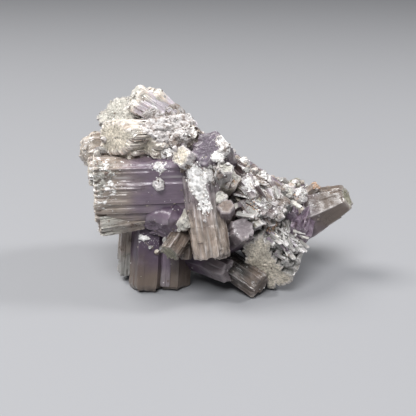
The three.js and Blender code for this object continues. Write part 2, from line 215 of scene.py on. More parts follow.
CRYSTALS = [
    Crystal("left_block", "left", (-3.4, -5.3, 24), (-28.6, -8.3, 24.2), reach=9, lath=0.5, groove=0.1,
            ragged=0.35, lumps=0.1, splinters=3, smooth=0.4, flaky=0.14, rim=0.12,
            columns=[(2.6, 4.6, 5, 0.9), (-2.6, 3.4, 7, 1.2)],
            outline=[(-6.5, -5), (-3, -7), (1.5, -7.2), (4.4, -6.8), (5.2, -6), (5.5, -4.4), (6.1, -4.1),
                (6.1, -2.2), (6.5, -1.8), (6.5, 2.8), (6.2, 3.2), (6.1, 6.4), (5, 7.6), (1.5, 8),
                (-4, 7.4), (-7.2, 3.5)]),
    Crystal("left_block_foot", "left", (-17.6, -9.2, 17.4), (-27.2, -12.4, 16.8), across=5.4, thick=5,
            tints=("tan", "frost", "tan"), lath=0.5, groove=0.08, lumps=0.1, rim=0.15),
    Crystal("pale_lump", "left", (-12.4, -7.3, 25), (-13.6, -14.2, 27.2), across=3.2, thick=3, roll=25,
            chip=0.6, grain=0.12, **PALE),
    Crystal("purple_knee", "left", (-8.4, -1.3, 24), (-13.4, -12.8, 15.9), across=12.4, thick=8,
            tints=("deep", "violet", "violet"), reach=3, lath=2.4, groove=0.03, chip=2.4, grain=0.08,
            lumps=0.3, splinters=0, smooth=0.8, veins=0.0),
    # its cream flanks are painted light, lighter than their own colour where its underside lies in shade
    Crystal("upper_left", "upper", (-8.4, 2.7, 32.5), (-20.9, -11.8, 35.5),
            tints=("cream_and_painted_light", "cream_and_painted_light", "sage"), reach=6, lath=0.35, groove=0.1, chip=1.0, grain=0.1,
            lumps=0.05, splinters=3, flaky=0.04, streaks=0.14, veins=0.22,
            columns=[(-2, -1, 7, -2), (2.5, 0.5, 6, -5)],
            outline=[(-8.5, 2), (-8, -2.5), (-6, -3.5), (-1.5, -2.5), (1.5, -0.5), (3, 3), (0, 4.5),
                (-4, 5), (-7.5, 4)]),
    Crystal("left_knob", "upper", (-21.4, 1.7, 31), (-31.6, -4.3, 32.2), across=6, thick=6.4,
            tints=("tan", "sand", "sand"), groove=0.05, chip=2.4, grain=0.14, lumps=0.25, splinters=0,
            rim=0.6, columns=[(1.4, -2.4, 3.2, -1), (-1.6, 2.0, 3.6, -1.6)]),
    Crystal("back_left", "upper", (-11.4, 13.7, 31.5), (-22.9, 1.7, 40), tints=("lilac", "ash", "frost"),
            reach=2, lath=0.5, groove=0.06, grain=0.16, lumps=0.08, splinters=2, smooth=0.3, streaks=0.05,
            veins=0.1,
            outline=[(-8, -2.5), (-6, -4.5), (-2, -3.5), (2, -3), (5.5, -1.5), (6, 0), (3.5, 1.5),
                (0.5, 4), (-3.5, 3), (-5, 1.5), (-5.5, 0)]),
    Crystal("top_prism", "upper", (-6.9, 4.1, 34.3), (-19.8, -0.8, 43.9), roll=10, widening=0.8,
            tints=("bloom", "cream_and_painted_light", "frost"), reach=2.6, lath=0.5, groove=0.02, chip=1, grain=0.06,
            lumps=0.08, splinters=2, smooth=0.35, flaky=0.08, streaks=0.03, veins=0.04,
            columns=[(1.0, 3.2, 3.4, -3.6, TAPERED), (-1.2, 3.0, 3.4, -2.8, TAPERED),
                (0.5, -1.2, 3.4, 0.5)],
            outline=[(-2.8, -2.2), (-0.6, -3.4), (1.9, -3.2), (2.7, -2), (2.8, 0.5), (2.5, 0.8),
                (2.4, 2.6), (1.6, 3.4), (-1, 3.5), (-2.9, 1.8)]),
    Crystal("brow", "upper", (-7.4, 1.7, 37), (-16.6, -6.3, 37.3), across=7, thick=5, roll=20,
            groove=0.03, ragged=0.1, chip=1.6, grain=0.1, lumps=0.15, splinters=0, **PALE),
    Crystal("crown", "middle", (0.6, 1.7, 24), (-2.4, -11.8, 35), across=10, thick=9, roll=15,
            tints=("deep", "deep", "deep"), groove=0.05, chip=1.0, lumps=0.06, splinters=1, smooth=0.4),
    Crystal("white_block", "middle", (-5.4, -8.3, 30), (-8.4, -15.3, 34), across=4.4, thick=4, roll=30,
            tints=("pale", "pale", "sage"), grain=0.12),
    Crystal("rubble_left", "middle", (-7.4, -0.3, 30), (-13.9, -9.3, 33.2), across=5, thick=4.4, roll=5,
            tints=("brown", "tan", "frost"), **RUBBLE),
    Crystal("rubble_mid", "middle", (-4.4, -0.3, 30), (-10.9, -6.8, 36.5), across=5.6, thick=5, roll=20,
            tints=("brown", "pale", "frost"), columns=[(2.6, 0, 3, -0.8), (-2.2, -1.6, 3.2, -1.3)],
            **RUBBLE),
    Crystal("rubble_back", "middle", (-2.4, 2.7, 30), (-6.8, -5.9, 37.4), across=5, thick=4.2,
            tints=("tan", "pale", "frost"), **RUBBLE),
    Crystal("small_cube", "middle", (-8.4, -3.3, 31), (-10.3, -9.3, 36), across=2.8, thick=2.6, roll=12,
            tints=("brown", "tan", "brown")),
    Crystal("center_prism", "middle", (-5.1, -10.3, 31), (-1.8, -17.8, 11.2), across=8.4, thick=7.5,
            tints=("lilac", "tan", "tan"), reach=10, lath=0.7, groove=0.18, grain=0.08, flaky=0.2,
            streaks=0.16, veins=0.34, columns=[(-2.3, 1.5, 3.8, 0.8), (1.9, 1, 3.6, -0.8)]),
    # the grey stubs' cream flanks are partly painted light, lightened where they lie in shade
    Crystal("grey_stub", "middle", (-0.4, -9.3, 24), (1.1, -14.8, 31.5), across=4, thick=3.6, roll=10,
            tints=("cream_and_painted_light", "pale", "frost"), chip=0.4),
    Crystal("grey_stub_right", "middle", (0.6, -5.3, 22), (2.6, -12.2, 27.9), across=5, thick=4.4,
            tints=("cream_and_painted_light", "cream_and_painted_light", "frost"), chip=0.4, grain=0.1),
    Crystal("grey_stub_low", "middle", (-0.4, -6.3, 19), (0.2, -14.7, 24.6), across=3.6, thick=3.4,
            roll=5, tints=("sage", "frost", "frost"), chip=0.4, grain=0.1),
    Crystal("small_prism", "middle", (2.1, -6.3, 12), (1.4, -16.3, 23), across=4.4, thick=4,
            tints=("brown", "lilac", "brown"), reach=4, chip=0.4, lumps=0.08, splinters=0, smooth=0.6,
            veins=0.0),
    Crystal("lilac_prism", "middle", (2.2, -8, 11), (5.3, -17.2, 18), across=6, thick=5.6, roll=15,
            tints=("violet", "lilac", "lilac"), reach=6, groove=0.05, chip=0.5, lumps=0.05, splinters=0,
            smooth=0.7, veins=0.0),
    Crystal("green_lump", "middle", (-6.4, -9.3, 20), (-8.2, -16.7, 18.2), across=3.4, thick=3,
            tints=("moss", "frost", "frost"), chip=0.8, grain=0.15),
    Crystal("dark_column", "feet", (-7, -9.3, 20), (-7.5, -13.8, 9), across=2.8, thick=3,
            tints=("deep", "umber", "umber"), lath=0.5, groove=0.06, smooth=0.3),
    Crystal("chunk", "right", (2.2, -1.3, 24.6), (13.9, -10.5, 18), across=10.6, thick=8, roll=10,
            tints=("bark", "umber", "ash"), ragged=0.4, grain=0.2, lumps=0.45, splinters=8, rim=0.6,
            streaks=0.15, veins=0.15,
            columns=[(3.4, 2.6, 4, -3), (-3, 3.4, 4, -1.4), (-1, -4, 5, 0.8), (0.5, 4, 3, -5)]),
    Crystal("chunk_front", "right", (3.6, -4.3, 20), (8.2, -14.9, 18.6), across=6, thick=5.5, roll=8,
            tints=("umber", "lilac", "ash"), chip=0.5, grain=0.18, lumps=0.4, splinters=6, rim=0.6),
    Crystal("ridge_prism", "right", (14.6, 1.7, 19), (4.8, -1.8, 27.6), across=5.4, thick=4.6, roll=20,
            tints=("violet", "violet", "pale"), columns=[(2, 0.4, 3, -3), (-1.8, 0.8, 3, -1.2)]),
    Crystal("ridge_lump", "right", (6.6, 0.7, 19), (10.8, -5.3, 25.6), across=4, thick=4,
            tints=("ash", "pale", "pale"), grain=0.15),
    Crystal("purple_blade", "right", (8.6, 0.4, 24.6), (19.6, -5.7, 15.5), across=4.4, thick=3, roll=15,
            tints=("deep", "violet", "violet")),
    Crystal("dark_stub", "right", (8.1, 4.7, 19), (16.2, 0.7, 22.6), across=3.6, thick=2.6,
            tints=("umber", "umber", "ash")),
    Crystal("green_stub", "right", (12.6, 4.7, 18), (19.8, 1.7, 22.4), across=3.2, thick=3, roll=10,
            tints=("moss", "moss", "frost"), chip=0.4),
    Crystal("grey_block", "right", (11.6, 1.7, 16), (16, -5.3, 22.6), across=3.6, thick=3.4, roll=20,
            tints=("ash", "ash", "frost")),
    Crystal("white_lump", "right", (14.6, 2.7, 15), (19.8, -4.6, 21.8), across=3.8, thick=3.8, chip=0.9,
            grain=0.1, **PALE),
    Crystal("orange_stub", "right", (17.6, 3.7, 15), (23.3, -1.8, 22.9), across=2.8, thick=2.6,
            tints=("pale", "tan", "pale"), chip=0.5, grain=0.1, lumps=0.2),
    Crystal("far_right", "right", (15.6, 2.3, 12), (30.6, -2.3, 20.2), across=6, thick=5.8, widening=2.4,
            tints=("violet", "umber", "moss"), reach=9, lath=0.8, groove=0.06, chip=0.6, lumps=0.12,
            splinters=0, smooth=0.6, rim=0.6, streaks=0.08, veins=0.0, columns=[(0.6, 1.8, 4, -3)]),
    # its white rim is partly frost and partly painted glints at the edges of its terraces
    Crystal("right_block", "right", (16.8, 5.2, 15.2), (11.6, -14.3, 9.5),
            tints=("violet", "ash", "sage"), reach=7, lath=0.6, groove=0.16, ragged=0.5, chip=0.06,
            grain=0.14, lumps=0.03, splinters=0, rim=0.7, streaks=0.1, veins=0.2,
            columns=[(1, 2.5, 5, -2, GLITTER), (3, -0.5, 5, -3.4, GLITTER), (5, 1.6, 6.6, -7, PURPLE),
                (3, 4.5, 6, -9, PURPLE), (4, -4, 4.5, -1.6, GLITTER), (0.6, 3.6, 2.4, -0.7, GLITTER),
                (1.6, 0.6, 2.4, -1, GLITTER), (3.2, -1.8, 2.4, -0.8, GLITTER),
                (2.4, 1.6, 2.6, -2.6, GLITTER), (3.8, -0.6, 2.6, -2.4, GLITTER),
                (2.2, 3.6, 2.6, -4.4, GLITTER), (4.6, 0.4, 2.8, -4.6, GLITTER),
                (5.2, -2.6, 2.4, -2.8, GLITTER), (5.6, -0.6, 2.6, -5, GLITTER)],
            outline=[(-4.5, 5), (-6.5, 2), (-6, -2), (-4.5, -4.5), (-2, -7), (-1, -9.5), (1.5, -8.5),
                (4.5, -7), (5.5, -4.5), (3.5, -3), (0.5, 1), (0, 4.5), (-1.5, 6.5)]),
    Crystal("foot", "feet", (-15.6, -2.3, 22), (-16.9, -9.5, -0.4), across=8.8, thick=8.5, reach=7,
            lath=2.4, groove=0.03, ragged=0.0, chip=1.4, splinters=0, streaks=0.03, **FOOT),
    Crystal("foot_right", "feet", (-9.6, -3.3, 22), (-10.6, -8.3, -0.4), across=7.2, thick=8, roll=12,
            reach=8, lath=2.0, groove=0.04, ragged=0.1, chip=1.0, splinters=1, streaks=0.04, **FOOT),
    Crystal("foot_seam", "feet", (-11.4, -6.3, 18), (-12.6, -10.8, 1), across=3.6, thick=3,
            tints=("violet", "lilac", "lilac"), smooth=0.7, rim=0.1, streaks=0.03, veins=0.0),
    Crystal("foot_left", "feet", (-21, -1.3, 20), (-22.4, -4.3, 1.5), across=4.5, thick=7,
            tints=("tan", "ash", "ash"), lath=0.8, groove=0.06, splinters=1, smooth=0.2),
    # the wedge's inner end is tinted near-black as painted shade
    Crystal("wedge", "feet", (-5.4, -8.3, 18), (-11.2, -17.9, 12.2), across=5.5, thick=4.5, roll=10,
            tints=("shade", "umber", "moss"), lath=0.4, groove=0.07, lumps=0.08, smooth=0.15, rim=0.2,
            streaks=0.08, veins=0.04),
    Crystal("low_lilac", "feet", (-8.4, -5.3, 7), (2.6, -13.8, 6), across=6, thick=5.5,
            tints=("deep", "lilac", "lilac"), lath=1.8, groove=0.04, splinters=0, smooth=0.8, veins=0.0),
    # low_tan is tinted near-black at its inner end as painted shade, and dark umber elsewhere, partly its
    # own colour and partly painted shade for the shade it lies in
    Crystal("low_tan", "feet", (-2.4, -6.3, 8.4), (9.6, -15.3, 3.2), across=6.5, thick=5.5,
            tints=("shade", "umber", "umber"), lath=0.35, groove=0.08, ragged=0.15, lumps=0.08,
            splinters=2, smooth=0.15, rim=0.3, streaks=0.1, veins=0.04),
    # the heart crystals, tinted near-black as painted shade
    Crystal("heart_across", "feet", (-16.4, 0.7, 24), (14.6, 2.7, 15), across=15, thick=15, roll=10,
            **PAINTED_SHADE_HEART),
    Crystal("heart_upright", "feet", (0.6, 1.7, 7), (-6.8, 1.7, 30), across=14, thick=14, **PAINTED_SHADE_HEART),
    Crystal("back_wide", "back", (-0.4, 0.7, 20), (-14.4, 17.2, 28), across=12, thick=10.5, roll=12,
            tints=("violet", "lilac", "sage"), veins=0.1, columns=[(4.5, 1, 5, -1.5), (-4, -3, 5, -2.4)],
            **BACK),
    Crystal("back_middle", "back", (-0.4, 0.7, 18), (1.1, 18.2, 21), across=12.5, thick=11, roll=20,
            tints=("deep", "violet", "sage"), veins=0.12, columns=[(-4.4, 3, 5, -1.2), (4.8, -1.5, 5, 1)],
            **BACK),
    Crystal("back_top", "back", (-1.4, 1.7, 20), (3.6, 12.2, 22.8), across=8.6, thick=8, roll=8,
            columns=[(3, 2, 4, -1.6)], **BACK),
    Crystal("back_right", "back", (1.6, -1.3, 16), (16.6, 14.2, 15), across=9.5, thick=9, roll=15,
            veins=0.1, columns=[(-3.6, 2, 4, -1.3)], **BACK),
    Crystal("back_low", "back", (-2.4, -1.3, 18), (-17.4, 14.2, 15.5), across=9.5, thick=8.5, veins=0.1,
            columns=[(3.2, -2.6, 4, 0.7)], **BACK),
    Crystal("back_foot_left", "back", (-3.4, 1.7, 18), (-9.4, 11.2, -0.5), across=8.5, thick=8, roll=15,
            tints=("deep", "umber", "tan"), columns=[(3, -2, 4.4, -2)], **BACK),
    Crystal("back_foot_right", "back", (2.6, 1.7, 17), (12.1, 9.2, -0.5), across=8.5, thick=8, roll=30,
            tints=("deep", "umber", "tan"), columns=[(-3, 2.5, 4.4, -2.6)], **BACK),
]

FLUTE_DEPTH = 0.18  # how deep the flutes in a section's sides are
FLUTES_BY_WIDTH = [(7, 3), (4.5, 2), (0, 1)]  # (least width, stretches between flutes on a side)
SIDE_UNEVENNESS = 0.09  # how far a section's corners stray, as a share
FULLNESS = 1.1  # lets a six-sided section, which is flat on two sides, fill its thickness
END_LEAN = (0.04, -0.05)  # how much an end face rises across and through the section
REST_HEIGHT = 0.0  # everything is cut off flat here, where the cluster stands


# ---------------------------------------------------------------------------------------------
# White crust and rusty grains, in millimetres


@dataclass
class Patch:
    """A place where crust or grains lie on the crystals."""

    name: str
    middle: tuple
    radius: float
    dust: float  # how thickly it whitens or rusts the crystals, and how full its sheet is
    grains: int  # how many grains it has
    mound: float = 0.0  # how thick a sheet of crust lies under them, or 0 for none
    facing: tuple = (0.0, -0.85, 0.5)  # the side that it is laid on from
    size: float = 0.2  # how big its grains are
    colour: str = "white"  # of its dust and most of its grains
    tone: str = "white"  # of its sheet


def rust_patch(name, middle, radius, dust, grains, size=0.28, facing=(0.0, -0.8, 0.6)):
    return Patch(name, middle, radius, dust, grains, facing=facing, size=size, colour="rust")


PATCHES = [
    Patch("left_end_top", (-26.0, -13.4, 30.2), 4.6, 0.34, 16),
    Patch("left_end_low", (-25.9, -14.4, 25.4), 4.4, 0.26, 12),
    Patch("left_end_flakes", (-26.6, -13.6, 28.4), 3.9, 0.46, 16, 0.1, tone="frost"),
    Patch("block_top", (-13.1, -12.8, 31.0), 1.8, 0.46, 20, 0.05),
    Patch("pale_lump", (-13.3, -14.2, 28.0), 1.8, 0.2, 10),
    # painted highlights: white dust and small grains standing in for sparkles
    Patch("sparkle_left", (-14.6, -15.2, 22.6), 1.4, 0.2, 12, size=0.22),
    Patch("sparkle_right", (-11.6, -15.4, 22.8), 1.6, 0.2, 14, size=0.22),
    Patch("rubble_left", (-12.8, -7.4, 37.6), 3.2, 0.8, 60, 0.35, tone="pale"),
    Patch("rubble_mid", (-9.4, -6.8, 37.6), 3.4, 0.8, 60, 0.35, tone="pale"),
    Patch("rubble_back", (-7.4, -6.6, 37.6), 2.8, 0.6, 40, 0.25, tone="pale"),
    Patch("small_white", (-11.2, -9.6, 33.4), 1.6, 0.75, 20, 0.3),
    Patch("white_block", (-8.3, -14.9, 34.6), 1.6, 0.2, 6),
    Patch("crown_top", (1.4, -10.8, 36.0), 2.4, 0.6, 30, 0.12, tone="pale"),
    Patch("crown_right", (1.4, -12.4, 34.4), 1.8, 0.5, 20, 0.2, tone="pale"),
    Patch("crown_lump", (-0.3, -13.8, 33.4), 1.5, 0.66, 16, 0.25),
    Patch("crown_speck", (-5.4, -13.4, 35.4), 0.9, 0.3, 8),
    Patch("centre_top", (-6.0, -14.5, 30.2), 2.2, 0.66, 24, 0.25),
    Patch("centre_upper", (-5.0, -15.3, 28.0), 2.3, 0.68, 24, 0.2),
    Patch("centre_right", (-2.2, -14.3, 29.6), 2.0, 0.62, 20, 0.2),
    Patch("centre_mid", (-4.2, -16.0, 25.6), 2.0, 0.54, 24, 0.15),
    Patch("centre_low", (-3.2, -16.8, 23.0), 1.8, 0.46, 20, 0.08),
    Patch("chunk_top", (7.0, -9.7, 26.0), 2.6, 0.5, 30, 0.08),
    Patch("chunk_left", (5.0, -12.4, 24.4), 1.7, 0.46, 20),
    Patch("chunk_right", (10.6, -9.9, 24.4), 1.8, 0.26, 20),
    Patch("chunk_low", (9.4, -14.2, 21.4), 2.0, 0.5, 30),
    Patch("chunk_edge", (13.6, -12.0, 18.8), 1.2, 0.4, 20),
    Patch("ridge_rim", (5.4, -1.7, 28.6), 1.6, 0.8, 40, 0.3),
    Patch("ridge_slope", (7.6, -4.6, 27.0), 2.2, 0.3, 30),
    Patch("ridge_lump", (10.7, -4.9, 26.2), 1.7, 0.6, 24, 0.2),
    # painted highlights: white dust and grains standing in for the glints on the right block's laths
    Patch("glitter_high", (15.4, -11.6, 14.0), 2.4, 0.26, 16),
    Patch("glitter_low", (16.6, -12.4, 10.6), 2.2, 0.24, 14),
    Patch("foot_lump", (-17.4, -11.7, 13.2), 1.6, 0.75, 40, 0.4),
    Patch("foot_pale", (-14.0, -11.4, 12.2), 1.2, 0.4, 20),
    Patch("stub_lump", (19.7, -4.4, 22.3), 1.6, 0.36, 12, 0.1),
    # painted highlight: white dust for the curved highlight on the far spur's end
    Patch("painted_highlight_far_end", (22.4, -4.0, 18.4), 1.0, 0.3, 6),
    Patch("knob_top", (-29.8, -4.6, 34.4), 2.2, 0.22, 24),
    Patch("knob_low", (-29.0, -5.9, 31.0), 2.2, 0.2, 20),
    Patch("brow", (-14.6, -6.0, 39.2), 3.8, 0.8, 40, 0.35, tone="pale"),
    Patch("brow_right", (-9.6, -2.4, 39.2), 3.6, 0.75, 30, 0.3, tone="pale"),
    Patch("slab_tip", (-19.4, -2.2, 43.4), 3.0, 0.26, 16),
    Patch("slab_mid", (-14.2, -1.8, 40.6), 3.0, 0.26, 12),
    Patch("back_high", (-8.0, 12.0, 33.0), 3.4, 0.6, 110, 0.8, (-0.2, 0.6, 0.8)),
    Patch("back_mid", (1.0, 13.0, 27.0), 3.4, 0.7, 130, 0.9, (0.0, 0.7, 0.7)),
    Patch("back_side", (10.0, 9.0, 21.0), 3.0, 0.5, 90, 0.6, (0.5, 0.5, 0.7)),
    Patch("back_left", (-14.0, 10.0, 22.0), 3.0, 0.5, 80, 0.5, (-0.6, 0.6, 0.5)),
    rust_patch("rust_left", (-26.1, -12.4, 32.6), 1.2, 0.6, 26),
    rust_patch("rust_right", (23.2, -1.8, 23.0), 1.2, 0.5, 30, 0.3),
    rust_patch("rust_chunk", (7.0, -13.3, 21.2), 1.6, 0.5, 34),
    rust_patch("rust_centre", (3.4, -12.4, 27.2), 1.2, 0.3, 8, 0.2),
    rust_patch("rust_stub", (18.4, -4.6, 21.0), 1.0, 0.4, 14, facing=(0.0, -0.9, 0.3)),
    rust_patch("rust_crack", (12.1, -11.4, 16.1), 2.0, 0.4, 20, facing=(0.0, -0.9, 0.3)),
    rust_patch("rust_back", (6.0, 12.0, 24.0), 1.8, 0.4, 30, 0.3, (0.2, 0.7, 0.7)),
]


# ---------------------------------------------------------------------------------------------
# Beds of small crystals, in millimetres


@dataclass
class Bed:
    """A place where small stubby crystals or thin blades stand on the big ones."""

    name: str
    middle: tuple
    radius: float
    count: int
    sizes: tuple = (1.1, 2.4)  # the least and most that one is across
    facing: tuple = (0.0, -0.85, 0.5)  # the side that they are set on from
    way: tuple = ()  # the way that blades point, or nothing for stubs at all angles
    tints: str = "mixed"
    long: tuple = (2.0, 3.6)  # the least and most that a blade is longer than it is across


CHIP_TINTS = {
    "mixed": [
        ("tan", "pale", "tan"),
        ("brown", "tan", "sage"),
        ("violet", "pale", "pale"),
        ("ash", "frost", "frost"),
        ("lilac", "ash", "ash"),
        ("tan", "white", "pale"),
        ("brown", "tan", "tan"),
    ],
    "glassy": [
        ("bark", "umber", "ash"),
        ("ash", "ash", "pale"),
        ("lilac", "lilac", "frost"),
        ("bark", "bark", "umber"),
        ("umber", "moss", "white"),
    ],
    # pale and white, partly the slivers' own frost and partly painted highlight for the glint of glossy
    # laths
    "silver": [
        ("ash", "pale", "white"),
        ("violet", "frost", "frost"),
        ("ash", "ash", "pale"),
        ("frost", "pale", "white"),
    ],
}
CHIP_BEDS = [
    Bed("rubble", (-10.4, -8.0, 36.2), 5.6, 7, (0.9, 1.7)),
    Bed("below_crown", (0.8, -13.0, 29.0), 3.0, 7, (0.8, 1.5), tints="glassy"),
    Bed("chunk", (8.4, -11.4, 23.6), 4.8, 4, (0.9, 2.0), tints="glassy"),
    Bed("blades", (8.8, -11.8, 23.0), 5.2, 54, (0.9, 2.2), way=(0.62, -0.3, -0.6), tints="glassy"),
    Bed("low_blades", (12.0, -13.0, 19.4), 2.8, 14, (0.8, 1.7), way=(0.62, -0.3, -0.6), tints="glassy"),
    Bed("slivers", (15.6, -12.0, 12.6), 4.2, 46, (0.45, 1.1), way=(0.66, -0.2, -0.72),
        tints="silver", long=(2.4, 5.0)),
    Bed("ridge", (8.0, -4.0, 27.0), 3.0, 10, (0.9, 1.8)),
    Bed("stubs", (18.0, -3.6, 21.6), 4.6, 14, (0.9, 2.0)),
    Bed("stub_valley", (2.6, -12.4, 25.6), 2.8, 6, (0.8, 1.5), tints="glassy"),
    Bed("above_feet", (-13.6, -11.4, 14.0), 4.0, 6, (0.8, 1.5)),
    Bed("knob", (-27.0, -5.4, 32.0), 3.6, 8, (0.9, 1.8)),
    Bed("back_high", (-8.0, 10.0, 32.0), 6.0, 26, (1.1, 2.6), (-0.2, 0.7, 0.7)),
    Bed("back_mid", (2.0, 11.0, 25.0), 6.0, 26, (1.1, 2.6), (0.1, 0.7, 0.7)),
    Bed("back_low", (-2.0, 12.0, 14.0), 6.0, 14, (1.1, 2.4), (0.0, 1.0, 0.0)),
    Bed("right_back", (13.0, 6.0, 19.0), 5.0, 14, (1.0, 2.2), (0.5, 0.6, 0.6)),
    Bed("left_back", (-20.0, 6.0, 28.0), 5.0, 14, (1.0, 2.2), (-0.6, 0.6, 0.4)),
    Bed("left_side", (-13.0, 4.0, 21.0), 3.6, 14, (1.4, 3.0), (-0.9, 0.45, 0.1)),
]


# ---------------------------------------------------------------------------------------------
# Noise and colour sums

# unround numbers, so that neighbours come out unalike
HASH_STEPS = (127.1, 311.7, 74.7)
HASH_GAIN = 43758.5453
# how far the noise of one seed lies from that of the next
NOISE_SHIFT = 17.31
CELL_SHIFT = 7.77


def scatter(a, b):
    """An even but unplanned-looking number from 0 to 1 for whole numbers a and b."""
    s = math.sin(a * HASH_STEPS[0] + b * HASH_STEPS[1]) * HASH_GAIN
    return s - math.floor(s)


def hashed(x, y, z):
    """The same for arrays of whole numbers."""
    s = np.sin(x * HASH_STEPS[0] + y * HASH_STEPS[1] + z * HASH_STEPS[2]) * HASH_GAIN
    return s - np.floor(s)


def noise3(points, size, seed=0.0):
    """Smooth noise from -1 to 1 at 3D points, with lumps about size across.

    Each seed gives a field of its own.
    """
    p = points / size + seed * NOISE_SHIFT
    base = np.floor(p)
    t = p - base
    t = t * t * (3 - 2 * t)
    total = np.zeros(p.shape[:-1])
    for dx in (0, 1):
        wx = t[..., 0] if dx else 1 - t[..., 0]
        for dy in (0, 1):
            wy = t[..., 1] if dy else 1 - t[..., 1]
            for dz in (0, 1):
                wz = t[..., 2] if dz else 1 - t[..., 2]
                total += wx * wy * wz * hashed(base[..., 0] + dx, base[..., 1] + dy, base[..., 2] + dz)
    return total * 2 - 1


def cells(points, size, seed=0.0):
    """A random height from 0 to 1 for the cell that each 2D point lies in."""
    p = points / size + seed * CELL_SHIFT
    base = np.floor(p)
    nearest = np.full(p.shape[:-1], 9.0)
    height = np.zeros(p.shape[:-1])
    for dx in (-1, 0, 1):
        for dy in (-1, 0, 1):
            cx = base[..., 0] + dx
            cy = base[..., 1] + dy
            across = cx + hashed(cx, cy, 1.0) - p[..., 0]
            up = cy + hashed(cx, cy, 2.0) - p[..., 1]
            gap = np.hypot(across, up)
            closer = gap < nearest
            nearest = np.where(closer, gap, nearest)
            height = np.where(closer, hashed(cx, cy, 3.0), height)
    return height


def ramp(value, low, high):
    """A smooth step from 0 at low to 1 at high."""
    t = np.clip((value - low) / (high - low), 0, 1)
    return t * t * (3 - 2 * t)


def linear(colour):
    """A screen colour as the light it stands for."""
    return np.array([c / 12.92 if c <= 0.04045 else ((c + 0.055) / 1.055) ** 2.4 for c in colour])


def light_of(colours, name):
    return linear(getattr(colours, name))


def laid_over(under, share, colour):
    """A colour that covers a share of another."""
    return under * (1 - share) + colour * share


# ---------------------------------------------------------------------------------------------
# Meshes and objects


def mesh_from(bm, name):
    mesh = bpy.data.meshes.new(name)
    bm.to_mesh(mesh)
    bm.free()
    return mesh


def add_point_colours(mesh, name, values):
    mesh.attributes.new(name, "FLOAT_COLOR", "POINT").data.foreach_set("color", values.ravel())


def add_object(name, data):
    thing = bpy.data.objects.new(name, data)
    bpy.context.scene.collection.objects.link(thing)
    return thing


# ---------------------------------------------------------------------------------------------
# The section of a prism

CORNERS = 6
FULL_GROOVE_SHADE_DEPTH = 0.15  # a groove as deep as this gets the darkest painted shade
WIDE_LATH = 0.5  # narrower laths have shallower grooves
CORNER_GROOVE = 0.15  # how deep a groove at a corner is, as a share of one in a side


def fluted(across, thick, seed, smooth=0.0):
    """The outline of a prism's section: six corners with flutes between them."""
    flutes = next(count for least, count in FLUTES_BY_WIDTH if across >= least)
    if smooth > 0.5:
        flutes = 1
    corners = []
    for k in range(CORNERS):
        angle = k * math.tau / CORNERS + (scatter(seed, k) - 0.5) * SIDE_UNEVENNESS
        reach = 1 + (scatter(seed + 7, k) - 0.5) * SIDE_UNEVENNESS * 2
        x = across / 2 * reach * math.cos(angle)
        y = thick / 2 * reach * math.sin(angle) * FULLNESS
        corners.append((x, y))
    outline = []
    for k, (x, y) in enumerate(corners):
        end = corners[(k + 1) % CORNERS]
        dx = end[0] - x
        dy = end[1] - y
        side = math.hypot(dx, dy)
        outline.append((x, y))
        for i in range(1, flutes):
            along = (i + (scatter(seed + k, i) - 0.5) * 0.5) / flutes
            depth = FLUTE_DEPTH * (0.5 + scatter(i, seed + k)) if i % 2 else -FLUTE_DEPTH * 0.3
            inward = min(depth, side * 0.12) / side
            outline.append((x + dx * along - dy * inward, y + dy * along + dx * inward))
    return outline


class Section:
    """The mesh points round a prism's section, lath by lath, with what each of them is.

    laths says which lath a point is in, profile how far it stands out, the groove shade how dark the
    groove that it lies in is painted, as painted shade, edges whether it is at a corner, and run how far
    round the section it lies.
    """

    def __init__(self, outline, crystal, spacing, rng):
        ring = np.array(outline, float)
        rows = []
        run = 0.0
        lath = 0
        for k in range(len(ring)):
            a = ring[k]
            b = ring[(k + 1) % len(ring)]
            before = a - ring[k - 1]
            side = float(np.linalg.norm(b - a))
            normal = np.array([b[1] - a[1], a[0] - b[0]]) / side
            corner = normal + np.array([before[1], -before[0]]) / np.linalg.norm(before)
            corner /= np.linalg.norm(corner)
            bulges = before[0] * (b - a)[1] - before[1] * (b - a)[0] > 0
            pieces = max(1, round(side / crystal.lath))
            cuts = np.linspace(0, 1, pieces + 1)
            cuts[1:-1] += rng.uniform(-0.3, 0.3, pieces - 1) / pieces
            for i in range(pieces):
                width = (cuts[i + 1] - cuts[i]) * side
                inner = max(2, round(width / spacing))
                deep = crystal.groove * rng.uniform(0.2, 1.6) * min(1.0, width / WIDE_LATH)
                if i == 0 and bulges:
                    deep *= CORNER_GROOVE
                tilt = rng.normal(0, 0.1) * width
                for j in range(inner):
                    grooved = j == 0
                    t = 0.0 if grooved else (j - 0.55) / (inner - 0.75)
                    place = a + (b - a) * (cuts[i] + (cuts[i + 1] - cuts[i]) * t)
                    outward = corner if i == 0 and grooved else normal
                    height = -deep if grooved else tilt * (t - 0.5)
                    # painted shade: the deeper the groove, the darker it is painted
                    pit = min(1.0, deep / FULL_GROOVE_SHADE_DEPTH) if grooved else 0.0
                    edge = 1.0 if bulges and i == 0 and grooved else 0.0
                    rows.append((*place, *outward, lath, height, pit, edge, run + t * width))
                run += width
                lath += 1
        rows.append((*rows[0][:-1], run))
        table = np.array(rows)
        self.points = table[:, 0:2].copy()
        self.normals = table[:, 2:4].copy()
        self.laths = table[:, 4].astype(int)
        self.profile, self.pits, self.edges, self.run = table[:, 5:].T.copy()
        self.count = lath
        self.middle = ring.mean(axis=0)
        self.radius = float(np.linalg.norm(ring - self.middle, axis=1).mean())


# ---------------------------------------------------------------------------------------------
# The relief of a prism, in millimetres

